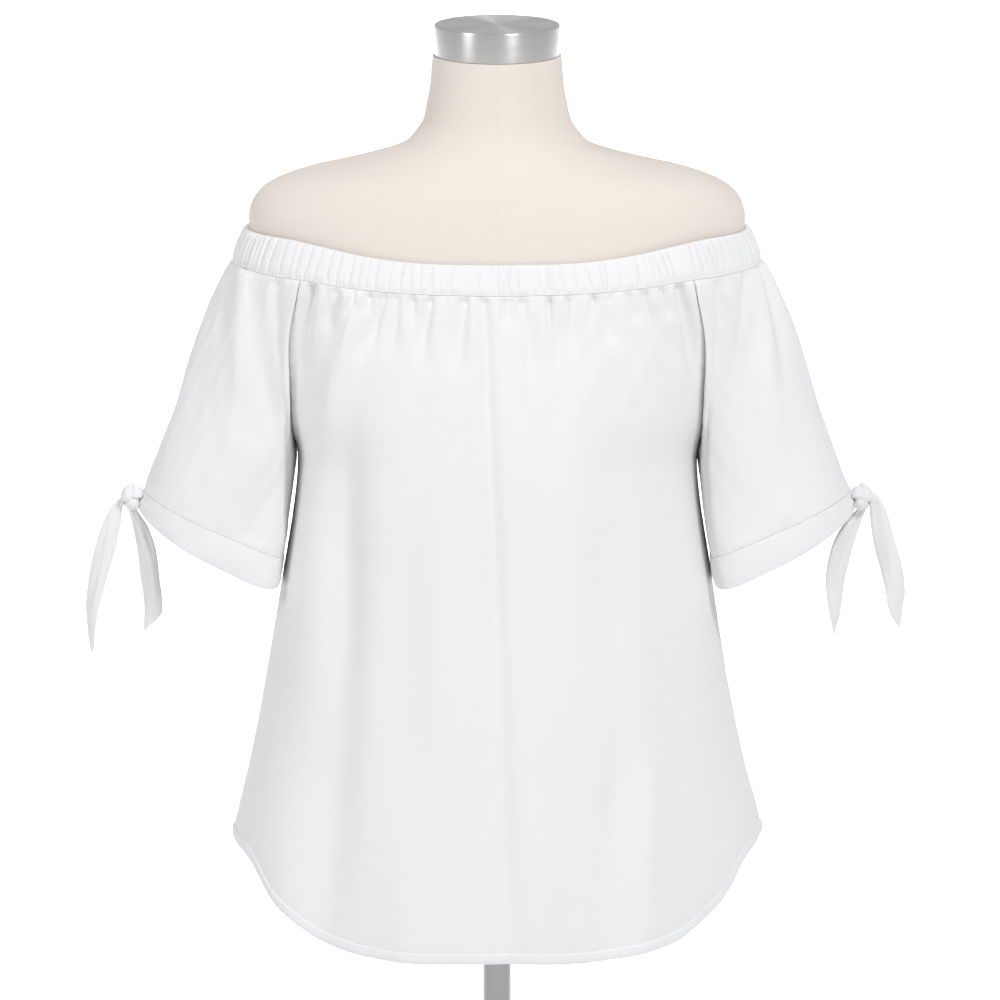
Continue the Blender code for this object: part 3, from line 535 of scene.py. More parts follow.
def grid_normals(grid, outward):
    down = np.gradient(grid, axis=0)
    along = np.gradient(grid, axis=1)
    normals = unit(np.cross(down, along))
    facing = np.sign(np.sum(normals * outward, axis=-1, keepdims=True))
    return normals * np.where(facing == 0, 1.0, facing)


def way_along(grid, axis):
    """The distance walked over a grid of points along an axis."""
    steps = np.linalg.norm(np.diff(grid, axis=axis), axis=-1)
    start = np.zeros_like(np.take(steps, [0], axis=axis))
    return np.cumsum(np.concatenate([start, steps], axis=axis), axis=axis)


def new_object(name, finish, vertices, faces, corner_uv, sharp=CLOTH_SHARP):
    """A smooth piece from points and faces, with a UV for each corner of each face."""
    mesh = bpy.data.meshes.new(name)
    mesh.from_pydata(vertices.tolist(), [], faces)
    layer = mesh.uv_layers.new(name="cloth")
    layer.data.foreach_set("uv", np.asarray(corner_uv, float).ravel())
    work = bmesh.new()
    work.from_mesh(mesh)
    bmesh.ops.recalc_face_normals(work, faces=work.faces)
    work.to_mesh(mesh)
    work.free()
    mesh.shade_smooth()
    mesh.set_sharp_from_angle(angle=math.radians(sharp))
    made = bpy.data.objects.new(name, mesh)
    made.data.materials.append(FINISHES[finish])
    bpy.context.collection.objects.link(made)
    return made


def wall_object(name, finish, outer, inner, joined_from=None):
    """A closed wall between two grids, with UVs in metres. Rows from joined_from on close on themselves."""
    rows, columns = outer.shape[:2]
    joined_from = rows if joined_from is None else joined_from
    ids = np.arange(2 * rows * columns).reshape(2, rows, columns)
    vertex = ids.copy()
    vertex[:, joined_from:, -1] = vertex[:, joined_from:, 0]
    used, compact = np.unique(vertex, return_inverse=True)
    compact = compact.reshape(-1)
    out, into = ids
    quads = [
        np.stack([out[:-1, :-1], out[1:, :-1], out[1:, 1:], out[:-1, 1:]], axis=-1).reshape(-1, 4),
        np.stack([into[:-1, :-1], into[:-1, 1:], into[1:, 1:], into[1:, :-1]], axis=-1).reshape(-1, 4),
    ]
    for row in (0, rows - 1):
        quads.append(np.stack([out[row, :-1], out[row, 1:], into[row, 1:], into[row, :-1]], axis=-1))
    length = min(joined_from, rows - 1)
    part, after = slice(0, length), slice(1, length + 1)
    for column in (0, columns - 1):
        quads.append(np.stack([out[part, column], into[part, column],
                               into[after, column], out[after, column]], axis=-1))
    corners = np.concatenate(quads)
    uv = np.stack([way_along(outer, 1), -way_along(outer, 0)], axis=-1)
    uv[..., 0] -= uv[:, columns // 2, 0][:, None]
    both = np.concatenate([uv.reshape(-1, 2), uv.reshape(-1, 2)])
    points = np.concatenate([outer.reshape(-1, 3), inner.reshape(-1, 3)])[used]
    return new_object(name, finish, points, compact[corners].tolist(), both[corners])


def ring_object(name, finish, profiles):
    """A closed ring through profiles, each a closed loop of points, with UVs in metres."""
    count, points = profiles.shape[:2]
    i, j = np.meshgrid(np.arange(count), np.arange(points), indexing="ij")
    after_i, after_j = (i + 1) % count, (j + 1) % points
    faces = np.stack([i * points + j, i * points + after_j,
                      after_i * points + after_j, after_i * points + j], axis=-1).reshape(-1, 4)
    closed = np.concatenate([profiles, profiles[:1]], axis=0)
    closed = np.concatenate([closed, closed[:, :1]], axis=1)
    around = way_along(closed, 0)[:, :1] * np.ones((1, points + 1))
    down = -way_along(closed, 1)
    uv = np.stack([around, down], axis=-1)
    corner_uv = np.stack([uv[i, j], uv[i, j + 1], uv[i + 1, j + 1], uv[i + 1, j]], axis=-2)
    return new_object(name, finish, profiles.reshape(-1, 3), faces.tolist(), corner_uv)


def stack_object(name, finish, rings, sharp=CLOTH_SHARP):
    """A closed solid through rings of points, with a fan at each end."""
    rings = np.asarray(rings)
    count, points = rings.shape[:2]
    whole = count * points
    vertices = np.concatenate([rings.reshape(-1, 3), rings[:1].mean(axis=1), rings[-1:].mean(axis=1)])
    i, j = np.meshgrid(np.arange(count - 1), np.arange(points), indexing="ij")
    after = (j + 1) % points
    faces = np.stack([i * points + j, i * points + after,
                      (i + 1) * points + after, (i + 1) * points + j], axis=-1).reshape(-1, 4).tolist()
    for end, ring in ((0, 0), (1, count - 1)):
        for k in range(points):
            faces.append([whole + end, ring * points + (k + 1) % points, ring * points + k])
    closed = np.concatenate([rings, rings[:, :1]], axis=1)
    uv = np.stack([way_along(closed, 1), -way_along(closed, 0)], axis=-1)
    corner_uv = []
    for corners in faces:
        at_end = points - 1 in [number % points for number in corners if number < whole]
        for number in corners:
            if number >= whole:
                corner_uv.append(uv[0 if number == whole else count - 1].mean(axis=0))
                continue
            row, column = divmod(number, points)
            corner_uv.append(uv[row, points if column == 0 and at_end else column])
    return new_object(name, finish, vertices, faces, corner_uv, sharp)


def socket(group, name, kind, into=True, value=None):
    made = group.interface.new_socket(name=name, in_out="INPUT" if into else "OUTPUT", socket_type=kind)
    if value is not None:
        made.default_value = value
    return made


def set_inputs(made, values):
    for key, value in values.items():
        made.inputs[key].default_value = value


def node(tree, kind, values=None, **settings):
    """A new node with its settings, and the values of its inputs."""
    made = tree.nodes.new(kind)
    for name, value in settings.items():
        setattr(made, name, value)
    set_inputs(made, values or {})
    return made


def join(tree, *links):
    """Link nodes. Each link is a node and its output, then a node and its input."""
    for source, output, target, entry in links:
        tree.links.new(source.outputs[output], target.inputs[entry])


def weave_group():
    """A plain weave with uneven yarns: its height, and a mask of slubs and fuzz."""
    group = bpy.data.node_groups.new("plain_weave", "ShaderNodeTree")
    socket(group, "Vector", "NodeSocketVector")
    socket(group, "Yarn", "NodeSocketFloat", value=0.0007)
    socket(group, "Height", "NodeSocketFloat", into=False)
    socket(group, "Slub", "NodeSocketFloat", into=False)
    start = node(group, "NodeGroupInput")
    end = node(group, "NodeGroupOutput")
    scale = node(group, "ShaderNodeMath", {0: math.pi}, operation="DIVIDE")
    grow = node(group, "ShaderNodeVectorMath", operation="SCALE")
    split = node(group, "ShaderNodeSeparateXYZ")
    warp = node(group, "ShaderNodeMath", operation="SINE")
    weft = node(group, "ShaderNodeMath", operation="SINE")
    cross = node(group, "ShaderNodeMath", operation="MULTIPLY")
    fuzz = node(group, "ShaderNodeTexNoise", {"Scale": 260.0, "Detail": 3.0})
    mix = node(group, "ShaderNodeMath", {1: 0.35}, operation="MULTIPLY_ADD")
    slub = node(group, "ShaderNodeTexNoise", {"Scale": 34.0, "Detail": 4.0})
    stretch = node(group, "ShaderNodeMapping", {"Scale": (1.0, 6.0, 1.0)})
    join(group, (start, "Yarn", scale, 1), (start, "Vector", grow, 0), (scale, 0, grow, "Scale"),
         (grow, 0, split, 0), (split, "X", warp, 0), (split, "Y", weft, 0),
         (warp, 0, cross, 0), (weft, 0, cross, 1), (start, "Vector", fuzz, "Vector"),
         (cross, 0, mix, 0), (fuzz, "Fac", mix, 2), (mix, 0, end, "Height"),
         (start, "Vector", stretch, "Vector"), (stretch, 0, slub, "Vector"), (slub, "Fac", end, "Slub"))
    return group


def new_finish(name, values):
    made = bpy.data.materials.new(name)
    made.use_nodes = True
    shader = made.node_tree.nodes["Principled BSDF"]
    set_inputs(shader, values)
    return made, made.node_tree, shader


def cloth_finish(name, light, dark, yarn, bump, roughness, sheen):
    """Cotton or jersey: woven relief, slight slubs and a soft sheen."""
    made, tree, shader = new_finish(name, {"Roughness": roughness, "Sheen Weight": sheen,
                                           "Sheen Roughness": 0.5, "Specular IOR Level": 0.25})
    place = node(tree, "ShaderNodeTexCoord")
    weave = node(tree, "ShaderNodeGroup", {"Yarn": yarn}, node_tree=WEAVE)
    tint = node(tree, "ShaderNodeMix", {6: (*dark, 1.0), 7: (*light, 1.0)}, data_type="RGBA")
    spread = node(tree, "ShaderNodeMapRange", {"From Min": 0.2, "From Max": 0.8})
    relief = node(tree, "ShaderNodeBump", {"Strength": bump, "Distance": 0.3 * MM})
    join(tree, (place, "UV", weave, "Vector"), (weave, "Slub", spread, "Value"),
         (spread, "Result", tint, 0), (tint, 2, shader, "Base Color"),
         (weave, "Height", relief, "Height"), (relief, "Normal", shader, "Normal"))
    return made


def steel_finish(name, stretch, colour, roughness):
    """Brushed steel: fine scratches drawn out along one direction."""
    made, tree, shader = new_finish(name, {"Metallic": 1.0, "Anisotropic": 0.85, "Anisotropic Rotation": 0.25})
    scratch = (*(value * 0.86 for value in colour), 1.0)
    place = node(tree, "ShaderNodeTexCoord")
    turn = node(tree, "ShaderNodeMapping", {"Scale": stretch})
    lines = node(tree, "ShaderNodeTexNoise", {"Scale": 9.0, "Detail": 6.0})
    tint = node(tree, "ShaderNodeMix", {6: scratch, 7: (*colour, 1.0)}, data_type="RGBA")
    rough = node(tree, "ShaderNodeMapRange", {"To Min": roughness - 0.06, "To Max": roughness + 0.08})
    round_about = node(tree, "ShaderNodeTangent", direction_type="RADIAL", axis="Z")
    join(tree, (place, "Object", turn, "Vector"), (turn, 0, lines, "Vector"),
         (lines, "Fac", tint, 0), (tint, 2, shader, "Base Color"),
         (lines, "Fac", rough, "Value"), (rough, "Result", shader, "Roughness"),
         (round_about, "Tangent", shader, "Tangent"))
    return made


def plain_floor():
    return new_finish("pale_floor", {"Base Color": (0.96, 0.96, 0.96, 1.0), "Roughness": 0.9,
                                     "Specular IOR Level": 0.1})[0]


def stitch_tree():
    """Stitches along a line: one small rounded thread at each step, joined into one mesh."""
    tree = bpy.data.node_groups.new("stitch_run", "GeometryNodeTree")
    socket(tree, "Geometry", "NodeSocketGeometry")
    socket(tree, "Spacing", "NodeSocketFloat", value=STITCH_SPACING)
    socket(tree, "Length", "NodeSocketFloat", value=STITCH_LENGTH)
    socket(tree, "Thickness", "NodeSocketFloat", value=STITCH_THICKNESS)
    socket(tree, "Material", "NodeSocketMaterial")
    socket(tree, "Geometry", "NodeSocketGeometry", into=False)
    start = node(tree, "NodeGroupInput")
    end = node(tree, "NodeGroupOutput")
    curve = node(tree, "GeometryNodeMeshToCurve")
    steps = node(tree, "GeometryNodeResampleCurve", mode="LENGTH")
    thread = node(tree, "GeometryNodeMeshUVSphere", {"Segments": 6, "Rings": 4, "Radius": 0.5})
    size = node(tree, "ShaderNodeCombineXYZ")
    shape = node(tree, "GeometryNodeTransform")
    tangent = node(tree, "GeometryNodeInputTangent")
    align = node(tree, "FunctionNodeAlignRotationToVector", axis="X")
    place = node(tree, "GeometryNodeInstanceOnPoints")
    real = node(tree, "GeometryNodeRealizeInstances")
    finish = node(tree, "GeometryNodeSetMaterial")
    join(tree, (start, "Geometry", curve, "Mesh"), (curve, "Curve", steps, "Curve"),
         (start, "Spacing", steps, "Length"), (start, "Length", size, "X"),
         (start, "Thickness", size, "Y"), (start, "Thickness", size, "Z"),
         (thread, "Mesh", shape, "Geometry"), (size, 0, shape, "Scale"),
         (tangent, 0, align, "Vector"), (steps, "Curve", place, "Points"),
         (shape, "Geometry", place, "Instance"), (align, "Rotation", place, "Rotation"),
         (place, "Instances", real, "Geometry"), (real, "Geometry", finish, "Geometry"),
         (start, "Material", finish, "Material"), (finish, "Geometry", end, "Geometry"))
    return tree


def stitches(name, runs, spacing=STITCH_SPACING):
    """One piece with a run of stitches along each line of points; a closed line repeats its first point."""
    vertices = []
    edges = []
    for run in runs:
        first = len(vertices)
        vertices.extend(np.asarray(run).tolist())
        edges.extend((i, i + 1) for i in range(first, len(vertices) - 1))
    mesh = bpy.data.meshes.new(name + "_line")
    mesh.from_pydata(vertices, edges, [])
    line = bpy.data.objects.new(name + "_line", mesh)
    bpy.context.collection.objects.link(line)
    modifier = line.modifiers.new("stitches", "NODES")
    modifier.node_group = STITCH_TREE
    inputs = {item.name: item.identifier for item in STITCH_TREE.interface.items_tree
              if item.in_out == "INPUT"}
    modifier[inputs["Spacing"]] = spacing
    modifier[inputs["Length"]] = spacing * STITCH_LENGTH / STITCH_SPACING
    modifier[inputs["Thickness"]] = STITCH_THICKNESS
    modifier[inputs["Material"]] = FINISHES["thread"]
    bpy.context.view_layer.update()
    evaluated = line.evaluated_get(bpy.context.evaluated_depsgraph_get())
    made_mesh = bpy.data.meshes.new_from_object(evaluated)
    made_mesh.shade_smooth()
    made = bpy.data.objects.new(name, made_mesh)
    bpy.context.collection.objects.link(made)
    bpy.data.objects.remove(line, do_unlink=True)
    return made


def on_body(piece, slot, *nodes):
    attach(piece, "root")
    if nodes:
        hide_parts(*nodes)
    return piece


def gathered(along, below, length, table, seed):
    """The puckers of a table's rows, added up."""
    rows = [Pucker(*row) for row in table]
    return sum(puckers(along, below, length, row.pitches * PUCKER_PITCH, row.height * MM, row.reach * MM,
                       seed + row.seed_step) for row in rows)


def below_casing(moved, below, reach):
    """Draw relief in at the casing, and let the cloth blouse out just below it."""
    from_casing = TOP_FULLNESS + (1 - TOP_FULLNESS) * ease(below / reach)
    return moved * from_casing + BLOUSING * (below / BLOUSING_WAY) * np.exp(1 - below / BLOUSING_WAY)


def hem_relief(above_hem, along):
    """The rolled hem: a raised band with slanted roping, a dent above it and slight puckers beyond."""
    in_band = np.sin(math.pi * np.clip(above_hem / HEM_BAND, 0, 1)) ** 0.55
    uneven = 1.3 * np.sin(along / (23 * MM)) + 0.8 * np.sin(along / (9.1 * MM))
    roping = np.sin(2 * math.pi * (np.abs(along) + 0.6 * above_hem) / ROPING_PITCH + uneven)
    strength = 0.65 + 0.35 * np.sin(along / (37 * MM) + 1.0)
    raised = in_band * (HEM_RAISE + ROPING_HEIGHT * roping * strength)
    above_band = np.clip(above_hem - HEM_BAND, 0, None)
    near = np.exp(-(above_band / (5 * MM)) ** 2)
    pull = HEM_PUCKER * np.sin(2 * math.pi * along / ROPING_PITCH + uneven) * near
    dent = HEM_DENT * np.exp(-(above_band / (1.6 * MM)) ** 2)
    return raised + (pull - dent) * (above_hem >= HEM_BAND)


def panel(name, facing, folds, seed):
    """A front or back panel of cotton, and the stitches of its hem."""
    shares = np.linspace(-1, 1, PANEL_COLUMNS + 1)
    levels = np.linspace(0, 1, ARMHOLE_ROWS) ** ROW_CROWDING
    seam_points, seam_outwards, seam_across = seam_frames(levels, facing)
    rows = []
    for level, seam in zip(levels, seam_points):
        turned = shares * float(seam_angle(seam[2]))
        angle = turned if facing > 0 else math.pi - turned
        height = casing_heights(angle)[1] * (1 - level) + UNDERARM * level
        rows.append(body_point(angle, height))
    turned = shares * math.pi / 2
    angle = turned if facing > 0 else math.pi - turned
    across = np.abs(np.sin(turned)) ** (2 / ROUNDNESS)
    hem = HEM_LOWEST + (HEM_CORNER - HEM_LOWEST) * smooth_value(HemPoint, HEM_CURVE, "rise", across)
    for share in np.linspace(0, 1, BODY_ROWS)[1:]:
        rows.append(body_point(angle, UNDERARM * (1 - share) + (hem + HEM_APPROACH) * share))
    for above in HEM_LEVELS:
        rows.append(body_point(angle, hem + above * MM))
    grid = np.array(rows)

    outward = grid * LEVEL
    normals = grid_normals(grid, outward)
    normals[0] = unit(normals[0] * LEVEL)
    along = way_along(grid, 1)
    along -= along[:, PANEL_COLUMNS // 2][:, None]
    to_edge = along[:, -1][:, None] - np.abs(along)
    below = way_along(grid, 0)
    x, z = grid[..., 0], grid[..., 2]
    fade = ease(to_edge / (14 * MM))
    moved = fold_height(folds, x, z) * FOLD_DEEPENING * ease(to_edge / (12 * MM))
    moved += gathered(along, below, 2 * along[0, -1], PANEL_PUCKERS, seed) * fade
    moved = below_casing(moved, below, 6 * MM)
    moved += stitch_dents(along) * np.exp(-(below / (2.5 * MM)) ** 2) * fade
    moved += soft_waves(x, z, 90 * MM, 420 * MM, 1.6 * MM, seed + 1) * fade * ease(below / 0.15)
    moved += soft_waves(x, z, 22 * MM, 60 * MM, 0.35 * MM, seed + 2) * fade * (1 - ease(below / 0.2))
    moved -= SEAM_DIP * np.exp(-(to_edge / SEAM_DIP_REACH) ** 2)
    armhole_rows = len(levels)
    seam_puckers = soft_waves(0 * z, z, 1.0, 9 * MM, 0.35 * MM, seed + 3)
    moved += seam_puckers * np.exp(-(to_edge / (6 * MM)) ** 2) * ease(to_edge / (2 * MM))
    moved += hem_relief(z - hem[None, :], along[-1][None, :])
    outer = grid + normals * moved[..., None]
    normals = grid_normals(outer, outward)
    normals[0] = unit(normals[0] * LEVEL)

    for column, side in ((0, -1), (PANEL_COLUMNS, 1)):
        mirror = np.array([side, 1.0, 1.0])
        seam = seam_points - seam_across * SEAM_GAP / 2 - seam_outwards * SEAM_DIP * 0.6
        seam[:, 1] = np.where(facing * seam[:, 1] > -SEAM_GAP / 2, -facing * SEAM_GAP / 2, seam[:, 1])
        outer[:armhole_rows, column] = seam * mirror
        outer[armhole_rows:, column, 1] = -facing * SEAM_GAP / 2
        edge_normals = np.zeros((len(outer), 3))
        edge_normals[:armhole_rows] = seam_outwards * mirror
        edge_normals[armhole_rows:] = (side, 0.0, 0.0)
        half = slice(0, PANEL_COLUMNS // 2) if side < 0 else slice(PANEL_COLUMNS // 2, None)
        near = np.exp(-(to_edge[:, half] / SEAM_BLEND) ** 2)[..., None]
        normals[:, half] = unit(normals[:, half] * (1 - near) + edge_normals[:, None] * near)
        normals[:, column] = edge_normals
    outer[0, :, 2] -= SEAM_GAP
    inner = outer - normals * WALL
    inner[0, :, 2] = outer[0, :, 2]
    made = on_body(wall_object(name + "_cloth", "cotton", outer, inner), "white_cotton", name)
    stitch_row = armhole_rows + BODY_ROWS - 1 + HEM_LEVELS.index(HEM_STITCH_LEVEL)
    line = outer[stitch_row, 3:-3] + normals[stitch_row, 3:-3] * 0.1 * MM
    seam = on_body(stitches(name + "_hem_stitches", [line]), "white_cotton")
    return made, seam


def sleeve(name, side, folds, seed):
    """A raglan sleeve: gathered at the casing, open along its seam down to the underarm, then a tube."""
    around = np.linspace(-1, 1, SLEEVE_COLUMNS + 1)
    levels = np.linspace(0, 1, ARMHOLE_ROWS) ** ROW_CROWDING
    tube = np.linspace(0, 1, TUBE_ROWS + 1)[1:] ** 0.9
    grid = sleeve_rings(around, levels, tube)
    armhole_rows = len(levels)
    way_round = way_along(grid, 1)
    edge_way = np.minimum(way_round, way_round[:, -1:] - way_round)
    loose = ease(edge_way / (26 * MM))[1:-1, :, None] * 0.5
    for _ in range(SMOOTHING_ROUNDS):
        grid[1:-1] += loose * ((grid[2:] + grid[:-2]) / 2 - grid[1:-1])
    down = np.concatenate([levels, 1 + tube])
    middles = grid.mean(axis=1, keepdims=True)
    middles[:armhole_rows] -= np.array([SHOULDER_IN, 0.0, 0.0]) * (1 - down[:armhole_rows, None, None])
    outward = grid - middles
    along = way_along(grid, 1)
    whole = along[:, -1:]
    to_edge = np.minimum(along, whole - along)
    along = along - whole / 2
    below = way_along(grid, 0)
    above_cuff = below[-1][None, :] - below
    at_cuff = ease((2 - down) / 0.15)[:, None]
    fade = ease(to_edge / (16 * MM))
    moved = sleeve_fold_height(folds, around[None, :], down[:, None]) * ease(to_edge / (14 * MM)) * at_cuff
    moved += gathered(along, below, 2 * along[0, -1], SLEEVE_PUCKERS, seed) * fade
    moved = below_casing(moved, below, 7 * MM)
    moved += puckers(along, above_cuff, 2 * along[-1, -1], 9 * MM, 0.8 * MM, 9 * MM, seed + 5) * fade
    moved += soft_waves(along, grid[..., 2], 60 * MM, 220 * MM, 1.0 * MM, seed + 1) * fade * at_cuff
    moved += soft_waves(along, grid[..., 2], 20 * MM, 60 * MM, 0.25 * MM, seed + 2) * fade * at_cuff
    in_armhole = (down <= 1.0)[:, None]
    moved -= SEAM_DIP * np.exp(-(to_edge / SEAM_DIP_REACH) ** 2) * in_armhole
    moved -= 0.15 * MM * np.exp(-(above_cuff / (1.5 * MM)) ** 2)
    normals = grid_normals(grid, outward)
    normals[0] = unit(normals[0] * LEVEL)
    outer = grid + normals * moved[..., None]
    normals = grid_normals(outer, outward)
    normals[0] = unit(normals[0] * LEVEL)
    crotch = armhole_rows - 1
    for column, facing in ((0, 1), (SLEEVE_COLUMNS, -1)):
        points, outwards, across = seam_frames(levels, facing)
        outer[:armhole_rows, column] = points + across * SEAM_GAP / 2 - outwards * SEAM_DIP * 0.6
        half = slice(0, SLEEVE_COLUMNS // 2) if column == 0 else slice(SLEEVE_COLUMNS // 2, None)
        near = np.exp(-(to_edge[:armhole_rows, half] / SEAM_BLEND) ** 2)[..., None]
        blended = normals[:armhole_rows, half] * (1 - near) + outwards[:, None] * near
        normals[:armhole_rows, half] = unit(blended)
        normals[:armhole_rows, column] = outwards
    outer[crotch, 0] = outer[crotch, -1] = (outer[crotch, 0, 0] + SEAM_GAP / 2, 0.0, outer[crotch, 0, 2])
    normals[crotch, 0] = normals[crotch, -1] = (0.0, 0.0, -1.0)
    middle = (outer[armhole_rows:, 0] + outer[armhole_rows:, -1]) / 2
    outer[armhole_rows:, 0] = outer[armhole_rows:, -1] = middle
    inward = unit(outward[armhole_rows:, 0] * np.array([1.0, 0.0, 1.0]))
    normals[armhole_rows:, 0] = normals[armhole_rows:, -1] = inward
    normals[-1] = unit(grid[-1] - grid[-1, :-1].mean(axis=0))
    outer[0, :, 2] -= SEAM_GAP
    inner = outer - normals * WALL
    inner[0, :, 2] = outer[0, :, 2]
    mirror = np.array([side, 1.0, 1.0])
    made = wall_object(name + "_cloth", "cotton", outer * mirror, inner * mirror, joined_from=crotch)
    return on_body(made, "white_cotton", name)


def stitch_dents(along, seam_walk=0.0):
    """Small dents that a row of stitches draws into cloth."""
    pitch = STITCH_SPACING * 1.15
    wander = 0.9 * np.sin(along / (13 * MM)) + 0.7 * np.sin(along / (5.3 * MM) + 2.0)
    return STITCH_DENT * np.sin(2 * math.pi * along / pitch + wander + 3.0 * seam_walk)


def casing_gathers(walk, whole, shares):
    """The relief of the gathers, for each share of the way down: narrow valleys between full ridges."""
    chance = np.random.RandomState(11)
    steps = chance.uniform(0.5, 1.55, CASING_GATHERS)
    valleys = np.cumsum(steps) / steps.sum() * whole
    leans = chance.uniform(-0.30, 0.30, CASING_GATHERS) * whole / CASING_GATHERS
    floors = chance.uniform(0.0, 0.3, CASING_GATHERS)
    floors[chance.uniform(size=CASING_GATHERS) < 0.14] = 0.65
    sizes = chance.uniform(0.78, 1.1, CASING_GATHERS)
    rows = []
    for share in shares:
        at = valleys + leans * (share - 0.5) + 0.35 * MM * np.sin(5 * share + np.arange(CASING_GATHERS))
        at = np.concatenate([[at[-1] - whole], at, [at[0] + whole]])
        floor = np.concatenate([[floors[-1]], floors, [floors[0]]])
        after = np.clip(np.searchsorted(at, walk), 1, CASING_GATHERS + 1)
        gap = at[after] - at[after - 1]
        part = np.clip((walk - at[after - 1]) / gap, 0, 1)
        size = sizes[(after - 1) % CASING_GATHERS]
        raised = size * (0.72 + 0.28 * np.sin(math.pi * part) ** 0.8)
        for side_floor, away in ((floor[after - 1], part * gap), (floor[after], (1 - part) * gap)):
            raised = raised - (0.8 - side_floor) * np.exp(-(away / VALLEY_REACH) ** 2)
        rows.append(raised)
    return rows


def level_outward(ring):
    """The level outward directions round a closed ring of points."""
    beside = np.roll(ring, -1, axis=0) - np.roll(ring, 1, axis=0)
    outward = unit(np.stack([beside[:, 1], -beside[:, 0], 0 * beside[:, 0]], axis=-1))
    return outward * np.sign(np.sum(outward * ring, axis=-1, keepdims=True))


def neck_casing():
    """The elastic casing: uneven upright gathers, full in the middle and drawn in at the stitches below."""
    columns = CASING_GATHERS * CASING_STEPS
    angle = np.linspace(0, 2 * math.pi, columns, endpoint=False)
    top, bottom = casing_heights(angle)
    upper, lower = (
        np.stack([*oval(angle, half_width, front, back), height], axis=-1)
        for half_width, front, back, height in (
            (CASING_TOP_HALF_WIDTH, CASING_TOP_FRONT, CASING_TOP_BACK, top),
            (CASING_HALF_WIDTH, CASING_FRONT, CASING_BACK, bottom))
    )
    outward = level_outward(upper)
    steps = np.linalg.norm(np.roll(lower, -1, axis=0) - lower, axis=1)
    walk = np.concatenate([[0.0], np.cumsum(steps)[:-1]])
    gathers = casing_gathers(walk, steps.sum(), CASING_LEVELS)
    smooth_part = np.exp(-((lower[:, 0] - SMOOTH_STRETCH) / (7 * MM)) ** 4) * (lower[:, 1] < 0)
    profile = []
    for share, gather in zip(CASING_LEVELS, gathers):
        gather = gather * (1 - smooth_part) + smooth_part
        full = 0.5 + 0.5 * math.sin(math.pi * min(1.0, share * 0.95 + 0.08)) ** 0.6
        full = full * (1 - 0.85 * float(ease((share - 0.78) / 0.2)))
        swell = 0.9 * MM * math.sin(math.pi * min(1.0, share * 1.02)) ** 0.6
        edge = 0.5 * MM * math.exp(-(share / 0.02) ** 2)
        point = upper * (1 - share) + lower * share
        raised = swell + CASING_RELIEF * full * gather - edge + CASING_FLOOR * full
        raised = raised + stitch_dents(walk, seam_walk=share) * float(ease((share - 0.8) / 0.08))
        profile.append(point + outward * raised[:, None])
    seam_line = profile[CASING_LEVELS.index(CASING_STITCH_LEVEL)] + outward * 0.12 * MM
    profile.append(lower - outward * CASING_WALL)
    profile.append((upper + lower) / 2 - outward * CASING_WALL)
    profile.append(upper - outward * CASING_WALL)
    made = ring_object("neck_casing_cloth", "cotton", np.stack(profile, axis=1))
    seam = stitches("neck_casing_stitches", [np.concatenate([seam_line, seam_line[:1]])])
    on_body(seam, "white_cotton")
    return on_body(made, "white_cotton", "neck_casing"), seam


def cuff(name, side, seed):
    """A cuff band with two rows of stitches, pulled a little where it is tied."""
    around = np.linspace(-1, 1, CUFF_COLUMNS + 1)[:-1]
    upper = tilted_ring(around, CUFF_TOP_INNER, CUFF_TOP_OUTER, SLEEVE_HALF_DEPTH)
    lower = tilted_ring(around, CUFF_BOTTOM_INNER, CUFF_BOTTOM_OUTER, SLEEVE_HALF_DEPTH)
    lower[:, 2] -= CUFF_FRONT_DIP * np.abs(np.sin(np.pi * around)) ** 1.5
    slope = np.array(CUFF_TOP_OUTER) - np.array(CUFF_TOP_INNER)
    below = unit(np.array([slope[1], 0.0, -slope[0]]))
    upper_out = unit(upper - upper.mean(axis=0))
    lower_out = unit((lower - lower.mean(axis=0)) * np.array([1.0, 1.0, 0.5]))
    upper = upper + below * SEAM_GAP
    along = around * CUFF_HALF_ROUND
    mirror = np.array([side, 1.0, 1.0])
    profile = []
    tie_pull = np.exp(-(around / 0.12) ** 2)
    for share in np.linspace(0, 1, CUFF_ROWS):
        out = unit(upper_out * (1 - share) + lower_out * share)
        point = upper * (1 - share) + lower * share
        swell = 0.7 * MM * math.sin(math.pi * share) ** 0.5
        edge = 0.1 * MM - 0.4 * MM * math.exp(-((1 - share) / 0.04) ** 2)
        stitch = -0.22 * MM * sum(math.exp(-((share - level) / 0.03) ** 2) for level in CUFF_STITCH_LEVELS)
        wave = soft_waves(along, share * 0.028 + 0 * along, 30 * MM, 60 * MM, 0.35 * MM, seed)
        wave = wave * math.sin(math.pi * share)
        pull = 1.1 * MM * tie_pull * np.cos(4 * math.pi * share) * math.sin(math.pi * share)
        profile.append(point + out * (swell + edge + stitch + wave + pull)[:, None])
    stitch_runs = []
    for level in CUFF_STITCH_LEVELS:
        run = profile[int(round(level * (CUFF_ROWS - 1)))] * mirror
        stitch_runs.append(np.concatenate([run, run[:1]]))
    profile.append(lower - lower_out * CUFF_WALL)
    profile.append((upper + lower) / 2 - unit(upper_out + lower_out) * CUFF_WALL)
    profile.append(upper - upper_out * CUFF_WALL)
    made = ring_object(name + "_cloth", "cotton", np.stack(profile, axis=1) * mirror)
    seam = on_body(stitches(name + "_stitches", stitch_runs), "white_cotton")
    return on_body(made, "white_cotton", name), seam


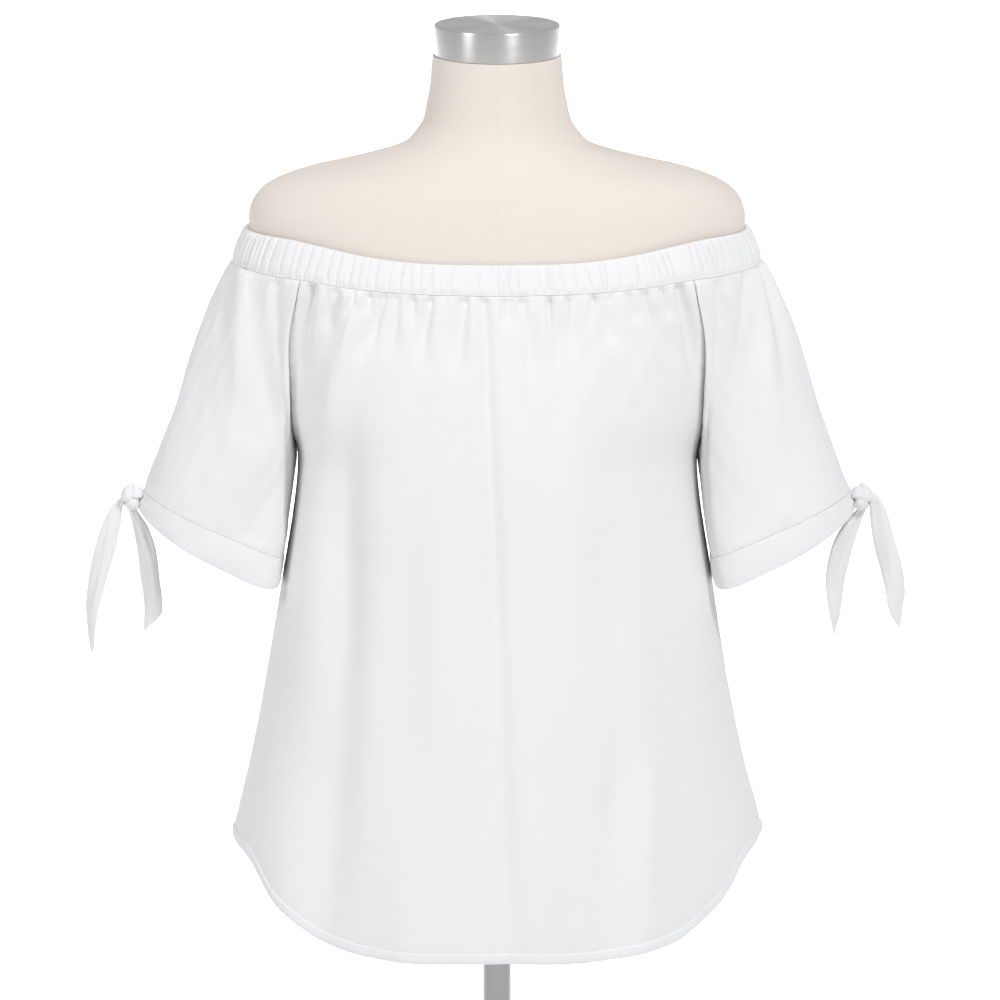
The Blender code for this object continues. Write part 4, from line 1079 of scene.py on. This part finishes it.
def knot(name, side):
    """A tied knot: a soft folded band that crosses over itself."""
    t = np.linspace(0, 2 * math.pi, KNOT_STEPS, endpoint=False)
    path = np.stack([np.sin(t) + 2 * np.sin(2 * t), -np.sin(3 * t) * 1.6, np.cos(t) - 2 * np.cos(2 * t)],
                    axis=-1)
    reach = (np.array(KNOT_HALF_SIZE) - KNOT_BAND) / np.array([3.0, 1.6, 3.0])
    path = path * reach
    tangent = unit(np.roll(path, -1, axis=0) - np.roll(path, 1, axis=0))
    first = unit(np.cross(tangent, unit(path + 1e-6)))
    second = np.cross(tangent, first)
    turn = np.linspace(0, 2 * math.pi, KNOT_SIDES, endpoint=False)
    creases = 1 + 0.10 * np.cos(4 * turn[None, :] + 3 * np.sin(t[:, None])) ** 3
    creases = creases + 0.05 * np.sin(7 * turn[None, :] + 3 * t[:, None])
    ring = (path[:, None] + first[:, None] * (np.cos(turn)[None, :] * creases * KNOT_BAND * 1.3)[..., None]
            + second[:, None] * (np.sin(turn)[None, :] * creases * KNOT_BAND * 0.8)[..., None])
    place = np.array(KNOT_CENTRE)
    lean = np.array([[1.0, 0.0, -0.18], [0.0, 1.0, 0.0], [0.18, 0.0, 1.0]])
    made = ring_object(name + "_cloth", "cotton", (ring @ lean.T + place) * np.array([side, 1.0, 1.0]))
    return on_body(made, "white_cotton", name)


def tie_tail(name, side, table):
    """A flat tie end with turned edges, which curls and turns as it falls to its slanted point."""
    rows = np.array(table, float)
    way = np.concatenate([[0], np.cumsum(np.linalg.norm(np.diff(rows[:, :3], axis=0), axis=1))])
    at = np.linspace(0, way[-1], TAIL_ROWS)
    walked = [(walk, *row) for walk, row in zip(way, rows)]
    out, back, height, half_width, turned = (
        smooth_value(WalkedTailRow, walked, column, at) for column in TailRow._fields
    )
    centre = np.stack([out * side, back, height], axis=-1) * MM
    turned = np.radians(turned * side)
    wide = np.stack([np.cos(turned), np.sin(turned), 0 * turned], axis=-1)
    across = np.linspace(-1, 1, TAIL_COLUMNS)
    rings = []
    edge_lines = ([], [])
    for i in range(TAIL_ROWS):
        width = half_width[i] * MM
        thick = np.array([-wide[i, 1], wide[i, 0], 0.0])
        curl = TAIL_CURL * width / (10 * MM)
        crease = 0.55 * math.sin(i * 0.055 + side)
        fold = TAIL_FOLD * np.exp(-((across - crease) / 0.28) ** 2) * math.sin(math.pi * i / TAIL_ROWS) ** 0.5
        crumple = 0.35 * MM * np.sin(across * 6.0 + i * 0.19) * (0.4 + 0.6 * math.sin(i * 0.09) ** 2)
        middle = centre[i] + np.outer(across * width, wide[i])
        middle = middle + np.outer(curl * across ** 2 + crumple - fold * width / (9 * MM), thick)
        middle[:, 2] += TAIL_SLANT * across * ease((i - TAIL_ROWS * 0.8) / (TAIL_ROWS * 0.2))
        half = 0.75 * MM + 0.25 * MM * np.exp(-((np.abs(across) - 0.82) / 0.16) ** 2)
        half = half * np.sqrt(np.clip(1.08 - across ** 8, 0, 1))
        front = middle - np.outer(half, thick)
        rear = middle + np.outer(half, thick)
        rings.append(np.concatenate([front, rear[::-1]]))
        edge_lines[0].append(front[3] - thick * 0.1 * MM)
        edge_lines[1].append(front[-4] - thick * 0.1 * MM)
    made = stack_object(name + "_cloth", "cotton", rings, 60.0)
    runs = [np.array(line)[14:-5] for line in edge_lines]
    seam = on_body(stitches(name + "_stitches", runs, TAIL_STITCH_SPACING), "white_cotton")
    flat = (2 * float(half_width.max()) * MM, float(way[-1]) * MM)
    return on_body(made, "white_cotton", name), seam, flat


def form_torso():
    """The covered form: a tight jersey with a seam down the middle and one round the neck."""
    turn = np.linspace(0, 2 * math.pi, FORM_COLUMNS, endpoint=False)
    beside_seam = np.linspace(0.2, 2.8, 9) / 100
    turn = np.unique(np.concatenate([turn, beside_seam, 2 * math.pi - beside_seam]))
    heights = np.unique(np.concatenate([np.linspace(FORM_BOTTOM, NECK_TOP, FORM_ROWS),
                                        np.linspace(1274 * MM, 1300 * MM, 40)]))
    half_width, front, back = (
        smooth_value(Section, FORM_SECTIONS, column, heights / MM) * MM
        for column in ("half_width", "front", "back")
    )
    rings = []
    for i, height in enumerate(heights):
        share = ease((height - (NECK_BOTTOM - NECK_ROUNDING / 2)) / NECK_ROUNDING)
        x, y = oval(turn, half_width[i], front[i], back[i], ROUNDNESS - 0.2 * float(share))
        ring = np.stack([x, y, np.full_like(x, height)], axis=-1)
        centre_seam = 0.55 * MM * np.exp(-(x / (0.7 * MM)) ** 2)
        neck_seam_height = NECK_SEAM - NECK_SEAM_DIP * np.cos(turn) ** 2 * (np.cos(turn) > 0)
        neck_seam = 0.45 * MM * np.exp(-((height - neck_seam_height) / (1.0 * MM)) ** 2)
        rings.append(ring - level_outward(ring) * (centre_seam + neck_seam)[:, None])
    made = stack_object("form_torso_cover", "jersey", rings)
    return on_body(made, "cream_jersey", "form_torso")


def turned_part(name, finish, outline, node, sides=128):
    turn = np.linspace(0, 2 * math.pi, sides, endpoint=False)
    rings = [np.stack([radius * np.cos(turn), radius * np.sin(turn), np.full_like(turn, height)], axis=-1)
             for radius, height in outline]
    return on_body(stack_object(name, finish, rings, 35.0), "brushed_steel", node)


def rounded_rim(radius, height, edge, up):
    """Points of a rounded edge, from the flat face to the side."""
    angles = np.linspace(0, math.pi / 2, 6)
    return [(radius - edge + edge * math.sin(a), height + up * edge * (math.cos(a) - 1)) for a in angles]


def stand():
    low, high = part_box("neck_cap")
    outline = rounded_rim(high.x, low.z, 0.8 * MM, -1) + rounded_rim(high.x, high.z, 1.2 * MM, 1)[::-1]
    turned_part("neck_cap_steel", "cap_steel", outline, "neck_cap")
    low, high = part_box("stand_pole")
    turned_part("stand_pole_steel", "pole_steel", [(high.x, low.z), (high.x, high.z)], "stand_pole")
    low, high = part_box("stand_base")
    outline = rounded_rim(high.x, low.z, 1.5 * MM, -1) + rounded_rim(high.x, high.z, 3.0 * MM, 1)[::-1]
    turned_part("stand_base_steel", "base_steel", outline, "stand_base", 160)


def floor_and_light():
    bpy.ops.mesh.primitive_plane_add(size=120, location=(0, 0, 0))
    floor = bpy.context.object
    floor.name = "floor"
    floor.data.materials.append(plain_floor())
    world = bpy.data.worlds.new("studio")
    world.use_nodes = True
    world.node_tree.nodes["Background"].inputs["Color"].default_value = (1.0, 1.0, 1.0, 1.0)
    world.node_tree.nodes["Background"].inputs["Strength"].default_value = WORLD_LIGHT
    bpy.context.scene.world = world
    for name, place, aim, size, power, spread in LAMPS:
        light = bpy.data.lights.new(name, "AREA")
        light.size = size
        light.energy = power
        light.spread = math.radians(spread)
        lamp = bpy.data.objects.new(name, light)
        lamp.location = place
        lamp.rotation_euler = (Vector(aim) - Vector(place)).to_track_quat("-Z", "Y").to_euler()
        bpy.context.collection.objects.link(lamp)


def camera():
    data = bpy.data.cameras.new("camera")
    data.lens = CAMERA_LENS
    data.sensor_width = SENSOR
    distance = PHOTO_SIDE * PIXEL * CAMERA_LENS / SENSOR
    tilt = math.radians(CAMERA_ELEVATION)
    made = bpy.data.objects.new("camera", data)
    made.location = Vector(VIEW_CENTRE) + distance * Vector((0.0, -math.cos(tilt), math.sin(tilt)))
    made.rotation_euler = (math.pi / 2 - tilt, 0.0, 0.0)
    data.clip_start = 0.1
    data.clip_end = 200.0
    bpy.context.collection.objects.link(made)
    bpy.context.scene.camera = made


camera()
WEAVE = weave_group()
FINISHES = {
    "cotton": cloth_finish("white_cotton_cloth", (0.862, 0.862, 0.876), (0.85, 0.85, 0.864),
                           0.0007, 0.08, 0.9, 0.05),
    "thread": cloth_finish("white_thread", (0.88, 0.88, 0.89), (0.84, 0.84, 0.85), 0.0002, 0.1, 0.7, 0.05),
    "jersey": cloth_finish("cream_jersey_cover", (0.825, 0.76, 0.70), (0.80, 0.735, 0.675),
                           0.0006, 0.08, 0.92, 0.08),
    "cap_steel": steel_finish("cap_brushed_steel", (1.0, 1.0, 130.0), (0.80, 0.80, 0.80), 0.3),
    "pole_steel": steel_finish("pole_brushed_steel", (1.0, 1.0, 90.0), (0.56, 0.56, 0.57), 0.3),
    "base_steel": steel_finish("base_brushed_steel", (60.0, 1.0, 60.0), (0.56, 0.56, 0.57), 0.36),
}
STITCH_TREE = stitch_tree()

form_torso()
stand()
casing, casing_seam = neck_casing()
front, front_hem = panel("top_front", 1, FRONT_FOLDS, 3)
back, back_hem = panel("top_back", -1, BACK_FOLDS, 53)
sleeves = [sleeve("sleeve_left", -1, LEFT_SLEEVE_FOLDS, 103),
           sleeve("sleeve_right", 1, RIGHT_SLEEVE_FOLDS, 153)]
cuffs = [cuff("cuff_left", -1, 203), cuff("cuff_right", 1, 253)]
knots = [knot("knot_left", -1), knot("knot_right", 1)]
tails = {name: tie_tail(name, side, table) for name, (side, table) in TAILS.items()}

floor_and_light()
bpy.context.scene.view_settings.view_transform = "Standard"
